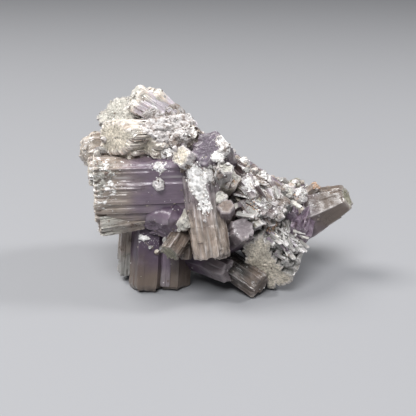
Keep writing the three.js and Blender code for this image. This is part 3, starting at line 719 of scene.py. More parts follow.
FINE_REACH = 16.0  # how far from the tip the rings stand close
BREAK_GAPS = (0.6, 2.6)  # the least and most from one break across the laths to the next
BREAK_HEIGHT = 0.06  # how far apart the two rings of a break are
SHIFTING = 0.18  # how many laths shift at a break
ENDING = 0.35  # how many end at one near the tip, times how ragged the crystal is
ENDING_REACH = 5.0  # how far from the tip laths may end
DEEPEST = 1.5  # how far in a broken lath may lie
PROUDEST = 0.35  # how far out a lath may stand
SHORTFALL = 0.35  # how far below the end face a lath may stop
END_CELLS = (0.9, 0.4)  # how wide the broad and the narrow laths on the end face are
END_MAP_SHIFT = 60.0  # keeps the end face's part of the UV map clear of the flanks'


@dataclass
class Layout:
    """A prism's mesh points, ring by ring from its root to its tip, and what each of them is."""

    grid: np.ndarray  # places before the prism is turned
    face: np.ndarray  # 0 on the flanks, 1 on the end face and 0.5 on the rim
    to_tip: np.ndarray  # how far it is to the tip
    uv: np.ndarray
    near_rim: np.ndarray  # on the end face, 1 at the rim and less towards the middle


def stations(length, spacing, rng):
    """Heights of the rings along a prism, and how many breaks each ring has passed."""
    heights = [0.0]
    breaks = [0]
    to_break = rng.uniform(1.0, 2.5)
    while heights[-1] < length - spacing * 1.2:
        left = length - heights[-1]
        step = spacing * (1.0 if left < FINE_REACH else 2.0)
        heights.append(heights[-1] + step)
        breaks.append(breaks[-1])
        to_break -= step
        if to_break < 0 and left > spacing * 2.4:
            heights.append(heights[-1] + BREAK_HEIGHT)
            breaks.append(breaks[-1] + 1)
            to_break = rng.uniform(*BREAK_GAPS)
    heights.append(length)
    breaks.append(breaks[-1])
    return np.array(heights), np.array(breaks)


def lath_offsets(section, breaks, heights, crystal, relief, rng):
    """How far each lath stands out at each ring. At a break some laths shift, and some end."""
    levels = breaks.max() + 1
    starts = np.array([heights[breaks == k].min() for k in range(levels)])
    shifts = np.zeros((levels, section.count))
    shifts[0] = rng.normal(0, 0.08, section.count)
    for k in range(1, levels):
        moved = rng.random(section.count) < SHIFTING
        shifts[k] = shifts[k - 1] + moved * rng.normal(-0.01, 0.1, section.count)
        if heights[-1] - starts[k] < ENDING_REACH:
            ended = rng.random(section.count) < crystal.ragged * ENDING
            shifts[k] -= ended * rng.uniform(0.25, 0.9, section.count)
    scale = relief * min(1.0, section.radius / 3.0) * (1 - 0.8 * crystal.smooth)
    return np.clip(shifts, -DEEPEST, PROUDEST)[breaks][:, section.laths] * scale


def flank_offsets(flat, shifts, section, length, crystal, relief, seed):
    """How far each point of the flanks stands out: laths, flakes, lumps, grain and a worn rim."""
    held = min(1.0, section.radius / 1.8)
    fade = 0.2 + 0.8 * ramp(noise3(flat * (1, 1, 0.3), 1.2, seed + 8), -0.6, 0.4)
    from_tip = length - flat[..., 2]
    striated = 1 - 0.65 * crystal.clear * ramp(from_tip, crystal.reach * 0.6, crystal.reach * 1.5)
    offset = (shifts + section.profile[None] * fade * relief) * striated
    skin = np.stack([np.broadcast_to(section.run, flat.shape[:2]), flat[..., 2] / 2.6], axis=-1)
    flakes = cells(skin, 1.0, seed) + 0.5 * cells(skin, 0.45, seed + 2) - 0.75
    offset += crystal.flaky * (1 - 0.8 * crystal.smooth) * held * flakes
    offset += held * crystal.lumps * (noise3(flat, 3.4, seed) + 0.5 * noise3(flat, 1.7, seed + 2))
    offset += held * crystal.grain * (noise3(flat, 0.8, seed + 5) + 0.6 * noise3(flat, 0.35, seed))
    worn = np.maximum(crystal.chip * (1 + 0.6 * noise3(flat, 1.6, seed + 9)), 0.05)
    back = np.clip(1 - from_tip / worn, 0, 1)
    offset -= worn * (1 - np.sqrt(1 - 0.96 * back**2))
    offset[:, -1] = offset[:, 0]
    return offset


def end_face(rim, short, section, length, lean, crystal, relief, seed):
    """Rings that close the tip, from the rim to the middle, and how near the rim each of them is."""
    rows = max(3, round(section.radius / (0.4 * crystal.coarse)))
    small = min(1.0, section.radius / 3)
    cap = np.empty((rows, *rim.shape))
    near_rim = np.empty(rows)
    for k in range(rows):
        f = 1 - (k + 1) / rows
        ring = cap[k]
        near_rim[k] = 1 - (1 - f) * section.radius / 6
        ring[:, :2] = section.middle + (rim[:, :2] - section.middle) * f
        ring[:, 2] = length + ring[:, :2] @ np.array(lean) - short * f**6
        sunk = 0.34 * cells(ring[:, :2], END_CELLS[0], seed)
        sunk += 0.16 * cells(ring[:, :2], END_CELLS[1], seed + 1)
        sunk *= min(1.0, crystal.lumps / 0.14)
        lumps = 1.5 * crystal.lumps * noise3(ring, 2.6, seed + 4)
        lumps += crystal.grain * noise3(ring, 0.45, seed + 6)
        ring[:, 2] += (lumps - sunk * relief) * small * (1 - f**8)
    return cap, near_rim


def lay_out(section, length, lean, crystal, sizes, seed, rng):
    """Lays out one prism: a closed root, the flanks and the end face."""
    heights, breaks = stations(length, sizes.along * crystal.coarse, rng)
    rows = len(heights)
    widths = crystal.widening + (1 - crystal.widening) * heights / length
    flat = np.empty((rows, len(section.points), 3))
    flat[..., :2] = section.points[None] * widths[:, None, None]
    flat[..., 2] = heights[:, None]
    shifts = lath_offsets(section, breaks, heights, crystal, sizes.relief, rng)
    offset = flank_offsets(flat, shifts, section, length, crystal, sizes.relief, seed)

    short = rng.uniform(0, SHORTFALL, section.count) * min(1.0, section.radius / 3)
    short = short[section.laths]
    near_tip = ramp(heights, length - 2.0, length)[:, None]
    tilt = (lean[0] * flat[..., 0] + lean[1] * flat[..., 1]) * (heights / length)[:, None]
    flat[..., :2] += section.normals[None] * offset[..., None]
    flat[..., 2] += tilt - near_tip * short[None]
    cap, near_rim = end_face(flat[-1], short, section, length, lean, crystal, sizes.relief, seed)
    base = np.zeros((1, *flat.shape[1:]))
    base[..., :2] = section.middle * widths[0]

    grid = np.concatenate([base, flat, cap])
    first = rows + 1  # the first ring of the end face
    face = np.zeros(grid.shape[:2])
    face[first:] = 1.0
    face[rows] = 0.5
    uv = np.empty(grid.shape[:2] + (2,))
    uv[..., 0] = section.run
    uv[..., 1] = grid[..., 2]
    uv[first:] = grid[first:, :, :2] + END_MAP_SHIFT
    out = np.concatenate([np.zeros(first), near_rim])[:, None]
    return Layout(grid, face, np.clip(length - grid[..., 2], 0, None), uv, out)


# ---------------------------------------------------------------------------------------------
# The colours of a prism

DUST_REACH = 1.6  # how far from a patch's middle its dust ends, in radii
SMALL_DUST = 0.6  # how much of it small crystals take on


def dust_over(world, share):
    """How thickly the crust patches whiten and rust each point."""
    dust = {"white": np.zeros(world.shape[:-1]), "rust": np.zeros(world.shape[:-1])}
    ragged = 0.5 * noise3(world, 1.6, 11) + 0.35 * noise3(world, 0.7, 12)
    for patch in PATCHES:
        gap = np.linalg.norm(world - np.array(patch.middle), axis=-1) / patch.radius
        if gap.min() < DUST_REACH:
            cover = share * patch.dust * ramp(1.0 - gap + 0.5 * ragged, -0.3, 0.5)
            dust[patch.colour] = np.maximum(dust[patch.colour], cover)
    return dust["white"], dust["rust"]


def prism_colours(crystal, section, layout, world, colours, seed, rng):
    """The tint of each point, and its look: end face, white dust, rust and glassiness."""
    grid, face, to_tip = layout.grid, layout.face, layout.to_tip
    pale = light_of(colours, "pale")
    near, tipward, basal = (light_of(colours, name) for name in crystal.tints)
    wander = 2.2 * noise3(world, 3.0, 3) + 1.0 * noise3(world, 1.1, 4)
    change = ramp(-(to_tip + wander), -crystal.reach * 1.5, -crystal.reach * 0.5)[..., None]
    shade = laid_over(near, change, tipward)

    # each lath a little lighter or darker, and painted shade in the grooves, less so where it is glassy
    streak = rng.normal(0.0, crystal.streaks, section.count)[section.laths][None]
    broken = noise3(grid * (1, 1, 0.25), 0.9, seed + 21)
    clear = 0.5 * crystal.clear
    glassy = crystal.smooth + clear * (1 - crystal.smooth) * (1 - change[..., 0]) * (1 - face)
    calm = 1 - 0.8 * glassy
    shade = shade * (1 + (streak + 0.12 * broken - 0.14 * section.pits[None]) * calm)[..., None]

    # bleached and brown laths
    lot = rng.random(section.count)[section.laths][None]
    veined = ramp(noise3(grid * (1, 1, 0.35), 1.1, seed + 31), -0.2, 0.5) * (1 - face)
    bleached = (0.5 * veined * (lot < crystal.veins))[..., None]
    stained = (0.3 * veined * (lot > 1 - 0.7 * crystal.veins))[..., None]
    shade = shade * (1 - bleached - stained * (0.7, 1.0, 1.2)) + pale * bleached

    # pale corners, partly wear and partly painted highlight, then the end face, then its rim, partly
    # frost and partly painted highlight
    worn = section.edges[None] * (1 - face) * ramp(noise3(world, 1.4, 22), -0.5, 0.5)
    worn = (min(0.9, 1.4 * crystal.rim) * calm * worn)[..., None]
    shade = laid_over(shade, worn, pale)
    shade = laid_over(shade, face[..., None], basal)
    near_rim = np.maximum(np.exp(-to_tip / 0.5) * (1 - face), (layout.near_rim > 0.9) * 0.8)
    rim = crystal.rim * near_rim * ramp(noise3(world, 0.9, 23), -0.8, 0.2)
    shade = laid_over(shade, rim[..., None], pale)

    tinted = np.ones((*face.shape, 4))
    tinted[..., :3] = np.clip(shade, 0, 1)
    look = np.ones((*face.shape, 4))
    look[..., 0] = face
    dusty = SMALL_DUST if crystal.group == "small" else 1.0
    look[..., 1], look[..., 2] = dust_over(world, dusty)
    look[..., 3] = glassy
    return tinted, look


# ---------------------------------------------------------------------------------------------
# Crystals

SPLINTER_WIDTHS = (0.22, 0.42)  # as shares of the crystal's radius
SPLINTER_LENGTHS = (4.0, 9.0)
SPLINTER_PLACE_SEED = 500
SPLINTER_SEED = 900
COLUMN_SEED_STEP = 31
CRYSTAL_SHARPNESS = 26  # edges between faces that turn by more degrees than this stay sharp


def turn_to(root, tip, roll):
    """The turn that stands a prism's own Z along the way from root to tip, as a 3x3 array."""
    along = (Vector(tip) - Vector(root)).normalized()
    upright = Vector((0, 1, 0)) if abs(along.z) > 0.8 else Vector((0, 0, 1))
    side = upright.cross(along).normalized()
    third = along.cross(side)
    c = math.cos(math.radians(roll))
    s = math.sin(math.radians(roll))
    return np.array([side * c + third * s, third * c - side * s, along]).T


def prism_mesh(crystal, outline, length, turn, lean, settings, seed):
    """One column of a crystal as a mesh: a grid wrapped round it, with its colours and UVs."""
    colours, sizes = settings
    rng = np.random.default_rng(seed)
    section = Section(outline, crystal, sizes.around * crystal.coarse, rng)
    layout = lay_out(section, length, lean, crystal, sizes, seed, rng)
    world = layout.grid @ turn.T + np.array(crystal.root)
    tinted, look = prism_colours(crystal, section, layout, world, colours, seed, rng)

    rows, cols = layout.face.shape
    bm = bmesh.new()
    bmesh.ops.create_grid(bm, x_segments=cols - 1, y_segments=rows - 1, size=1.0)
    mesh = mesh_from(bm, "prism")
    mesh.vertices.foreach_set("co", (world * MM).ravel())
    add_point_colours(mesh, "tint", tinted)
    add_point_colours(mesh, "look", look)
    corner = np.empty(len(mesh.loops), dtype=np.int32)
    mesh.loops.foreach_get("vertex_index", corner)
    layer = mesh.uv_layers.new(name="UVMap")
    layer.uv.foreach_set("vector", layout.uv.reshape(-1, 2)[corner].ravel())
    return mesh


def splinter_meshes(crystal, outline, length, turn, settings, seed):
    """Small columns round the rim that part from the main one near its tip."""
    rng = np.random.default_rng(seed + SPLINTER_PLACE_SEED)
    ring = np.array(outline)
    middle = ring.mean(axis=0)
    radius = np.linalg.norm(ring - middle, axis=1).mean()
    meshes = []
    for i in range(crystal.splinters):
        k = rng.integers(len(ring))
        spot = ring[k] + (ring[(k + 1) % len(ring)] - ring[k]) * rng.random()
        width = rng.uniform(*SPLINTER_WIDTHS) * radius
        grown = min(rng.uniform(*SPLINTER_LENGTHS), length * 0.7)
        end = length + rng.uniform(-0.4, 0.05) * min(radius, 3.0)
        start = end - grown
        spot = middle + (spot - middle) * (1 - 0.35 * width / radius)
        root = tuple(np.array(crystal.root) + turn[:, 2] * start)
        small = replace(crystal, root=root, widening=0.78, lath=0.7, coarse=1.25)
        own = seed + SPLINTER_SEED + i
        shape = [(x + spot[0], y + spot[1]) for x, y in fluted(width, width, own)]
        lean = tuple(rng.normal(0, 0.12, 2))
        grown -= lean[0] * spot[0] + lean[1] * spot[1]
        meshes.append(prism_mesh(small, shape, grown, turn, lean, settings, own))
    return meshes


def crystal_meshes(crystal, settings, seed):
    """The main prism of a crystal, the columns beside it and the splinters round their rims.

    A column is (shift across, shift thick, width, reach past the tip), and then a set of whatever
    differs from the main prism.
    """
    length = (Vector(crystal.tip) - Vector(crystal.root)).length
    turn = turn_to(crystal.root, crystal.tip, crystal.roll)
    lean = (0.0, 0.0) if crystal.outline else END_LEAN
    outline = crystal.outline or fluted(crystal.across, crystal.thick, seed, crystal.smooth)
    meshes = [prism_mesh(crystal, outline, length, turn, lean, settings, seed)]
    meshes += splinter_meshes(crystal, outline, length, turn, settings, seed)
    for i, (dx, dy, width, reach, *other) in enumerate(crystal.columns):
        own = seed + COLUMN_SEED_STEP * (i + 1)
        column = replace(crystal, widening=1.0, splinters=min(2, crystal.splinters))
        for changes in other:
            column = replace(column, **changes)
        shape = [(x + dx, y + dy) for x, y in fluted(width, width, own, column.smooth)]
        meshes.append(prism_mesh(column, shape, length + reach, turn, lean, settings, own))
        meshes += splinter_meshes(column, shape, length + reach, turn, settings, own)
    return meshes


def joined_piece(name, meshes, material, sharp):
    """One object from many closed meshes, cut off flat at the rest height and riding on the cluster."""
    bm = bmesh.new()
    for mesh in meshes:
        bm.from_mesh(mesh)
        bpy.data.meshes.remove(mesh)
    bmesh.ops.remove_doubles(bm, verts=bm.verts, dist=1e-8)
    everything = bm.verts[:] + bm.edges[:] + bm.faces[:]
    floor = (0.0, 0.0, REST_HEIGHT * MM)
    cut = bmesh.ops.bisect_plane(
        bm, geom=everything, dist=1e-8, plane_co=floor, plane_no=(0, 0, 1), clear_inner=True
    )
    rim = [edge for edge in cut["geom_cut"] if isinstance(edge, bmesh.types.BMEdge)]
    if rim:
        filled = bmesh.ops.holes_fill(bm, edges=rim, sides=0)
        bmesh.ops.triangulate(bm, faces=filled["faces"])
    bmesh.ops.dissolve_degenerate(bm, edges=bm.edges, dist=1e-8)
    bmesh.ops.recalc_face_normals(bm, faces=bm.faces)
    mesh = mesh_from(bm, name)
    mesh.shade_smooth()
    mesh.set_sharp_from_angle(angle=math.radians(sharp))
    mesh.materials.append(material)
    piece = add_object(name, mesh)
    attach(piece, BODY)
    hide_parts(NODE)


def settings_of(context):
    return context.scene.aragonite_colours, context.scene.aragonite_sizes


def join_crystals(group, meshes, colours):
    material = aragonite_material(colours)
    joined_piece(f"{group}_crystals", meshes, material, CRYSTAL_SHARPNESS)


def grow_group(context, group):
    """Grows every crystal of a group and joins them in one piece."""
    settings = settings_of(context)
    meshes = []
    for i, crystal in enumerate(CRYSTALS):
        if crystal.group == group:
            meshes += crystal_meshes(crystal, settings, i + 1)
    join_crystals(group, meshes, settings[0])


# ---------------------------------------------------------------------------------------------
# Places on the crystals

RAY_START = 12.0  # how far outside a patch or bed its rays start, in millimetres
FAR_OUT = 80.0  # outside the whole cluster


def side_vectors(way):
    """Two directions square to a way and to one another."""
    across = way.orthogonal().normalized()
    return across, way.cross(across)


class Grounds:
    """The crystals' surfaces, for finding where a ray lands."""

    def __init__(self):
        depsgraph = bpy.context.evaluated_depsgraph_get()
        self.trees = []
        for piece in bpy.context.scene.objects:
            if piece.name.endswith("_crystals"):
                self.trees.append(BVHTree.FromObject(piece, depsgraph))

    def land(self, start, way, reach=200.0):
        """The first place that a ray meets, the normal there, and how far it is in metres."""
        best = None
        for tree in self.trees:
            place, normal, _, gap = tree.ray_cast(start * MM, way, reach * MM)
            if place is not None and (best is None or gap < best[2]):
                best = (place / MM, normal, gap)
        return best

    def land_near(self, middle, radius, facing, rng):
        """A random landing place within radius of middle, seen from the side it faces."""
        across, up = side_vectors(facing)
        far = radius * rng.random() ** 0.6
        spin = rng.uniform(0, math.tau)
        side = across * math.cos(spin) + up * math.sin(spin)
        hit = self.land(Vector(middle) + facing * RAY_START + side * far, -facing)
        if hit is None or (hit[0] - Vector(middle)).length > radius * 1.4:
            return None
        return hit


# ---------------------------------------------------------------------------------------------
# Small crystals

STUB_LENGTHS = (1.1, 1.9)  # as shares of how wide a stub is
STUB_THICKNESS = (0.75, 1.0)
BLADE_THICKNESS = (0.25, 0.6)
SUNK = 0.55  # how much of a small crystal is sunk in the big one
BED_SEED = 700
CHIP_SHAPE_SEED = 900
CHIP_SKIN_SEED = 7000
BED_SEED_STEP = 40  # from one bed's seeds to the next one's


def chip_on(bed, hit, facing, rng):
    """One small crystal that stands where a ray has landed, and its length."""
    across = rng.uniform(*bed.sizes)
    if bed.way:
        way = (Vector(bed.way) + facing * 0.25 + Vector(rng.normal(0, 0.28, 3))).normalized()
        length = across * rng.uniform(*bed.long)
    else:
        way = (hit[1] + facing * 0.5 + Vector(rng.normal(0, 0.55, 3))).normalized()
        length = across * rng.uniform(*STUB_LENGTHS)
    root = hit[0] - way * length * SUNK
    choices = CHIP_TINTS[bed.tints]
    tints = choices[rng.integers(len(choices))]
    thick = across * rng.uniform(*(BLADE_THICKNESS if bed.way else STUB_THICKNESS))
    chip = Crystal(
        bed.name, "small", tuple(root), tuple(root + way * length), across=across, thick=thick,
        roll=rng.uniform(0, 60), tints=tints, reach=length * 0.6, lath=0.8, groove=0.04, chip=0.1,
        grain=0.05, lumps=0.1, splinters=0, smooth=0.0 if bed.tints == "mixed" else 0.6,
        rim=0.9 if bed.way else 0.3,
    )
    return chip, length


def chip_meshes(settings):
    """Small stubby crystals and blades that stand on the big ones."""
    grounds = Grounds()
    meshes = []
    for i, bed in enumerate(CHIP_BEDS):
        rng = np.random.default_rng(BED_SEED + i)
        facing = Vector(bed.facing).normalized()
        for k in range(bed.count):
            hit = grounds.land_near(bed.middle, bed.radius, facing, rng)
            if hit is None:
                continue
            chip, length = chip_on(bed, hit, facing, rng)
            own = BED_SEED_STEP * i + k
            turn = turn_to(chip.root, chip.tip, chip.roll)
            shape = fluted(chip.across, chip.thick, CHIP_SHAPE_SEED + own)
            lean = tuple(rng.normal(0, 0.15, 2))
            meshes.append(prism_mesh(chip, shape, length, turn, lean, settings, CHIP_SKIN_SEED + own))
    return meshes


def grow_small_crystals(context):
    settings = settings_of(context)
    join_crystals("small", chip_meshes(settings), settings[0])


# ---------------------------------------------------------------------------------------------
# Sheets of crust

SHEET_SHARPNESS = 40  # in degrees, as for the crystals
SHEET_REACH = 1.2  # how far out a sheet may run, in radii of its patch
WIDEST_JUMP = 0.9  # a sheet breaks where the ground drops by more than this from point to point
UNDERSIDE = -0.6  # how deep in the crystals a sheet's underside lies
FLAKE_WAY = np.array([(0.62, 0.0, 0.3), (0.0, 1.2, 0.0), (0.62, 0.0, -1.5)])  # makes flakes of lumps


def ball_points(subdivisions):
    """A ball's mesh, its points and the two ends of each edge."""
    bm = bmesh.new()
    bmesh.ops.create_icosphere(bm, subdivisions=subdivisions, radius=1.0)
    mesh = mesh_from(bm, "sheet")
    points = np.empty(len(mesh.vertices) * 3)
    mesh.vertices.foreach_get("co", points)
    ends = np.empty(len(mesh.edges) * 2, dtype=np.int32)
    mesh.edges.foreach_get("vertices", ends)
    return mesh, points.reshape(-1, 3), ends.reshape(-1, 2)


def drape(points, far, ends, patch, grounds):
    """Flattens a ball to a disc and drops it on the crystals.

    Gives each point's place and normal there, and how far the ground jumps to its neighbours.
    """
    facing = Vector(patch.facing).normalized()
    across, up = side_vectors(facing)
    middle = Vector(patch.middle)
    flat = np.hypot(points[:, 0], points[:, 1])
    disc = points[:, :2] * (far / np.maximum(flat, 1e-6))[:, None] * patch.radius * SHEET_REACH
    ground = np.empty((len(points), 3))
    outward = np.empty((len(points), 3))
    depth = np.empty(len(points))
    for i, (x, y) in enumerate(disc):
        start = middle + facing * RAY_START + across * float(x) + up * float(y)
        hit = grounds.land(start, -facing)
        if hit is None or abs(hit[2] / MM - RAY_START) > patch.radius * SHEET_REACH:
            hit = (middle - facing * 1.5, facing, 0.0)
        ground[i] = hit[0]
        outward[i] = (hit[1] + facing).normalized() if (hit[1] + facing).length > 0.3 else facing
        depth[i] = (hit[0] - start).length
    step = np.abs(depth[ends[:, 0]] - depth[ends[:, 1]])
    jump = np.zeros(len(points))
    np.maximum.at(jump, ends[:, 0], step)
    np.maximum.at(jump, ends[:, 1], step)
    return ground, outward, jump


def sheet_mesh(patch, grounds, colours, seed):
    """A thin broken skin of crust that follows the crystals under it, open where it runs out."""
    wide_in_front = patch.radius > 3 and patch.facing[1] < 0
    mesh, points, ends = ball_points(5 if wide_in_front else 4)
    far = np.sqrt(1 - np.abs(points[:, 2]))
    ground, outward, jump = drape(points, far, ends, patch, grounds)

    # where it is full and where it has run out
    coarse = min(1.6, patch.radius * 0.6)
    breakup = 0.45 * noise3(ground, coarse, seed) + 0.35 * noise3(ground, 0.65, seed + 1)
    breakup += 0.5 * noise3(ground, 0.3, seed + 2)
    fill = patch.dust * (1.35 - 1.35 * far**2) - 0.42 + 0.6 * breakup
    fill = np.where(jump > WIDEST_JUMP, -0.5, fill)

    # how thick it is: white crust is lumpy, and the pale kind flaky
    grain = ground if patch.tone == "white" else ground @ FLAKE_WAY
    rough = 0.14 * noise3(grain, 0.45, seed + 3) + 0.12 * noise3(grain, 0.2, seed + 4)
    rough += patch.mound * 0.2 * noise3(grain, 1.0, seed + 6)
    thick = np.clip(fill * 1.8, -0.4, 0.55) * (0.3 + patch.mound) + rough
    thick = np.where(points[:, 2] > 0.02, np.maximum(thick, -0.5), UNDERSIDE)
    where = ground + outward * thick[:, None]
    mesh.vertices.foreach_set("co", (where * MM).ravel())

    tints = np.ones((len(points), 4))
    bright = ramp(fill + 0.4 * noise3(ground, 0.5, seed + 5), -0.25, 0.1)[:, None]
    shade = laid_over(light_of(colours, "tan"), bright, light_of(colours, patch.tone))
    if patch.tone != "white":
        # whiter on its bumps and browner in its hollows: partly the crust's own colours, partly painted
        # highlight and painted shade
        white_peak_and_highlight = 0.5 * ramp(noise3(ground, 0.9, seed + 7) + 2.5 * rough, 0.1, 0.8)[:, None]
        shade = laid_over(shade, white_peak_and_highlight, light_of(colours, "white"))
        spot = 0.8 * ramp(noise3(ground, 0.8, seed + 8) - 3.0 * rough, 0.1, 0.5)[:, None]
        shade = laid_over(shade, spot, light_of(colours, "brown"))
    tints[:, :3] = shade
    add_point_colours(mesh, "tint", tints)
    return mesh


def lay_white_crust(context):
    colours, _ = settings_of(context)
    grounds = Grounds()
    meshes = []
    for i, patch in enumerate(PATCHES):
        if patch.mound:
            meshes.append(sheet_mesh(patch, grounds, colours, i))
    joined_piece("white_crust", meshes, crust_material(), SHEET_SHARPNESS)


# ---------------------------------------------------------------------------------------------
# Crumbs and grains

CRUMB_SHARPNESS = 20  # in degrees, as for the crystals
CRUMB_KINDS = 6
CRUMB_SEED = 41
RUST_SEED = 43
STRAY_COLOURS = ("tan", "pale", "brown")
CREVICE_COLOURS = ("white", "pale", "tan", "brown", "tan", "sage")
PATCH_TRIES = 3  # how often a grain's place is sought before it is left out
CREVICE_TRIES = 12
GLANCES = 5  # how many ways are looked, to see whether a place is in a crevice
GLANCE_REACH = 3.0
LEAST_SHUT = 2  # how many of them something near has to shut
STRAY_SHARE = 0.015  # how often a crumb lies out in the open
CRUMB_SIZE = 0.28
STRAY_SIZE = 0.14


def crumb_shapes(rng):
    """A few small many-sided crumbs, each about 1 mm across."""
    shapes = []
    for kind in range(CRUMB_KINDS):
        bm = bmesh.new()
        if kind % 2:
            bmesh.ops.create_cube(bm, size=0.8)
            bmesh.ops.bevel(
                bm, geom=bm.edges[:], offset=0.16, offset_type="OFFSET", segments=1, profile=0.5,
                affect="EDGES", material=-1,
            )
        else:
            bmesh.ops.create_icosphere(bm, subdivisions=1, radius=0.5)
        bmesh.ops.triangulate(bm, faces=bm.faces[:])
        for vert in bm.verts:
            vert.co += Vector(rng.normal(0, 0.07, 3))
        bm.verts.index_update()
        points = np.array([vert.co for vert in bm.verts])
        faces = np.array([[vert.index for vert in face.verts] for face in bm.faces])
        bm.free()
        shapes.append((points, faces))
    return shapes


def crumbs_mesh(crumbs, colours, rng):
    """One mesh of all the crumbs: (place, normal, size, colour)."""
    shapes = crumb_shapes(rng)
    points = []
    faces = []
    tints = []
    start = 0
    for place, normal, size, colour in crumbs:
        shape, sides = shapes[rng.integers(len(shapes))]
        across, up = side_vectors(normal)
        spin = rng.uniform(0, math.tau)
        side = across * math.cos(spin) + up * math.sin(spin)
        turn = np.array([side, normal.cross(side), normal])
        scaled = shape * size * rng.uniform(0.75, 1.25, 3) * (1, 1, 0.8)
        points.append(scaled @ turn + np.array(place))
        faces.append(sides + start)
        tone = light_of(colours, colour) * rng.uniform(0.8, 1.08)
        tints.append(np.tile(np.append(np.clip(tone, 0, 1), 1.0), (len(shape), 1)))
        start += len(shape)
    mesh = bpy.data.meshes.new("grains")
    mesh.from_pydata((np.concatenate(points) * MM).tolist(), [], np.concatenate(faces).tolist())
    add_point_colours(mesh, "tint", np.concatenate(tints))
    return mesh


def patch_crumbs(patch, grounds, rng):
    """Where a patch's grains land: big in its middle, small at its rim."""
    facing = Vector(patch.facing).normalized()
    own_share = 0.8 if patch.tone == "white" else 0.4
    crumbs = []
    for _ in range(patch.grains * PATCH_TRIES):
        if len(crumbs) >= patch.grains:
            break
        hit = grounds.land_near(patch.middle, patch.radius * 1.2, facing, rng)
        if hit is None:
            continue
        far = (hit[0] - Vector(patch.middle)).length / patch.radius
        size = patch.size * rng.lognormal(0, 0.5) * max(0.4, 1.25 - 0.5 * far)
        stray = STRAY_COLOURS[rng.integers(len(STRAY_COLOURS))]
        colour = patch.colour if rng.random() < own_share else stray
        crumbs.append((hit[0], hit[1], size, colour))
    return crumbs


def crevice_crumbs(count, grounds, rng):
    """Crumbs in the corners between crystals, on every side of the cluster."""
    low, high = (np.array(corner) / MM for corner in CAD_BOX)
    middle = Vector((low + high) / 2)
    crumbs = []
    for _ in range(count * CREVICE_TRIES):
        if len(crumbs) >= count:
            break
        way = Vector(rng.normal(0, 1, 3)).normalized()
        aim = middle + Vector(rng.uniform(-1, 1, 3) * (high - low) * 0.45)
        hit = grounds.land(aim + way * FAR_OUT, -way)
        if hit is None or hit[0].z < 1.0:
            continue
        shut = 0
        for _ in range(GLANCES):
            glance = (hit[1] + Vector(rng.normal(0, 0.8, 3))).normalized()
            if grounds.land(hit[0] + hit[1] * 0.05, glance, GLANCE_REACH) is not None:
                shut += 1
        if shut < LEAST_SHUT and rng.random() > STRAY_SHARE:
            continue
        size = (STRAY_SIZE if shut < LEAST_SHUT else CRUMB_SIZE) * rng.lognormal(0, 0.45)
        colour = CREVICE_COLOURS[rng.integers(len(CREVICE_COLOURS))]
        crumbs.append((hit[0], hit[1], size, colour))
    return crumbs


def lay_grains(context, name, seed, colour, crevices, material):
    """Joins the grains of every patch of a colour, and a number of crumbs in crevices, in one piece."""
    colours, _ = settings_of(context)
    rng = np.random.default_rng(seed)
    grounds = Grounds()
    crumbs = []
    for patch in PATCHES:
        if patch.colour == colour:
            crumbs += patch_crumbs(patch, grounds, rng)
    crumbs += crevice_crumbs(crevices, grounds, rng)
    mesh = crumbs_mesh(crumbs, colours, rng)
    joined_piece(name, [mesh], material, CRUMB_SHARPNESS)


def lay_crumbs(context):
    _, sizes = settings_of(context)
    lay_grains(context, "crumbs", CRUMB_SEED, "white", sizes.crumbs, crust_material())


def lay_rusty_grains(context):
    lay_grains(context, "rusty_grains", RUST_SEED, "rust", 0, rust_material())


# ---------------------------------------------------------------------------------------------
# Materials. The scales are in lumps of noise to the metre.

SUGAR_SCALE = 2200.0
CLOUD_SCALE = 380.0
CRUST_SCALE = 1100.0
STREAK_STRETCH = (4.2, 0.5, 1.0)  # on the UV map, in millimetres: across the laths and along them
FLAKE_STRETCH = (1.3, 0.55, 1.0)


def add_node(tree, kind, place, settings=(), inputs=()):
    made = tree.nodes.new(kind)
    made.location = place
    for key, value in dict(settings).items():
        setattr(made, key, value)
    for key, value in dict(inputs).items():
        made.inputs[key].default_value = value
    return made


def fresh_material(name, place, skin_inputs):
    """A new material with nothing but a principled surface: itself, its tree and that surface."""
    material = bpy.data.materials.new(name)
    material.use_nodes = True
    tree = material.node_tree
    tree.nodes.clear()
    skin = add_node(tree, "ShaderNodeBsdfPrincipled", (place, 0), inputs=skin_inputs)
    out = add_node(tree, "ShaderNodeOutputMaterial", (place + 300, 0))
    tree.links.new(skin.outputs["BSDF"], out.inputs["Surface"])
    return material, tree, skin


def add_attribute(tree, place, name):
    return add_node(tree, "ShaderNodeAttribute", place, {"attribute_name": name})


def add_noise(tree, place, vector, scale, detail, roughness=0.5):
    sizes = {"Scale": scale, "Detail": detail, "Roughness": roughness}
    made = add_node(tree, "ShaderNodeTexNoise", place, inputs=sizes)
    tree.links.new(vector, made.inputs["Vector"])
    return made.outputs["Fac"]


def add_lath_noise(tree, place, vector, stretch, detail, roughness=0.5):
    """Noise drawn out along the laths."""
    along = add_node(tree, "ShaderNodeMapping", (place[0] - 200, place[1]), inputs={"Scale": stretch})
    tree.links.new(vector, along.inputs["Vector"])
    return add_noise(tree, place, along.outputs["Vector"], 1.0, detail, roughness)


def add_range(tree, place, value, low, high, to_low, to_high):
    limits = {"From Min": low, "From Max": high, "To Min": to_low, "To Max": to_high}
    made = add_node(tree, "ShaderNodeMapRange", place, inputs=limits)
    tree.links.new(value, made.inputs["Value"])
    return made.outputs["Result"]


def add_mix(tree, place, factor, first, second):
    """Mixes two numbers by a factor."""
    made = add_node(tree, "ShaderNodeMix", place, {"data_type": "FLOAT"})
    for key, source in ((0, factor), (2, first), (3, second)):
        if isinstance(source, float):
            made.inputs[key].default_value = source
        else:
            tree.links.new(source, made.inputs[key])
    return made.outputs[0]


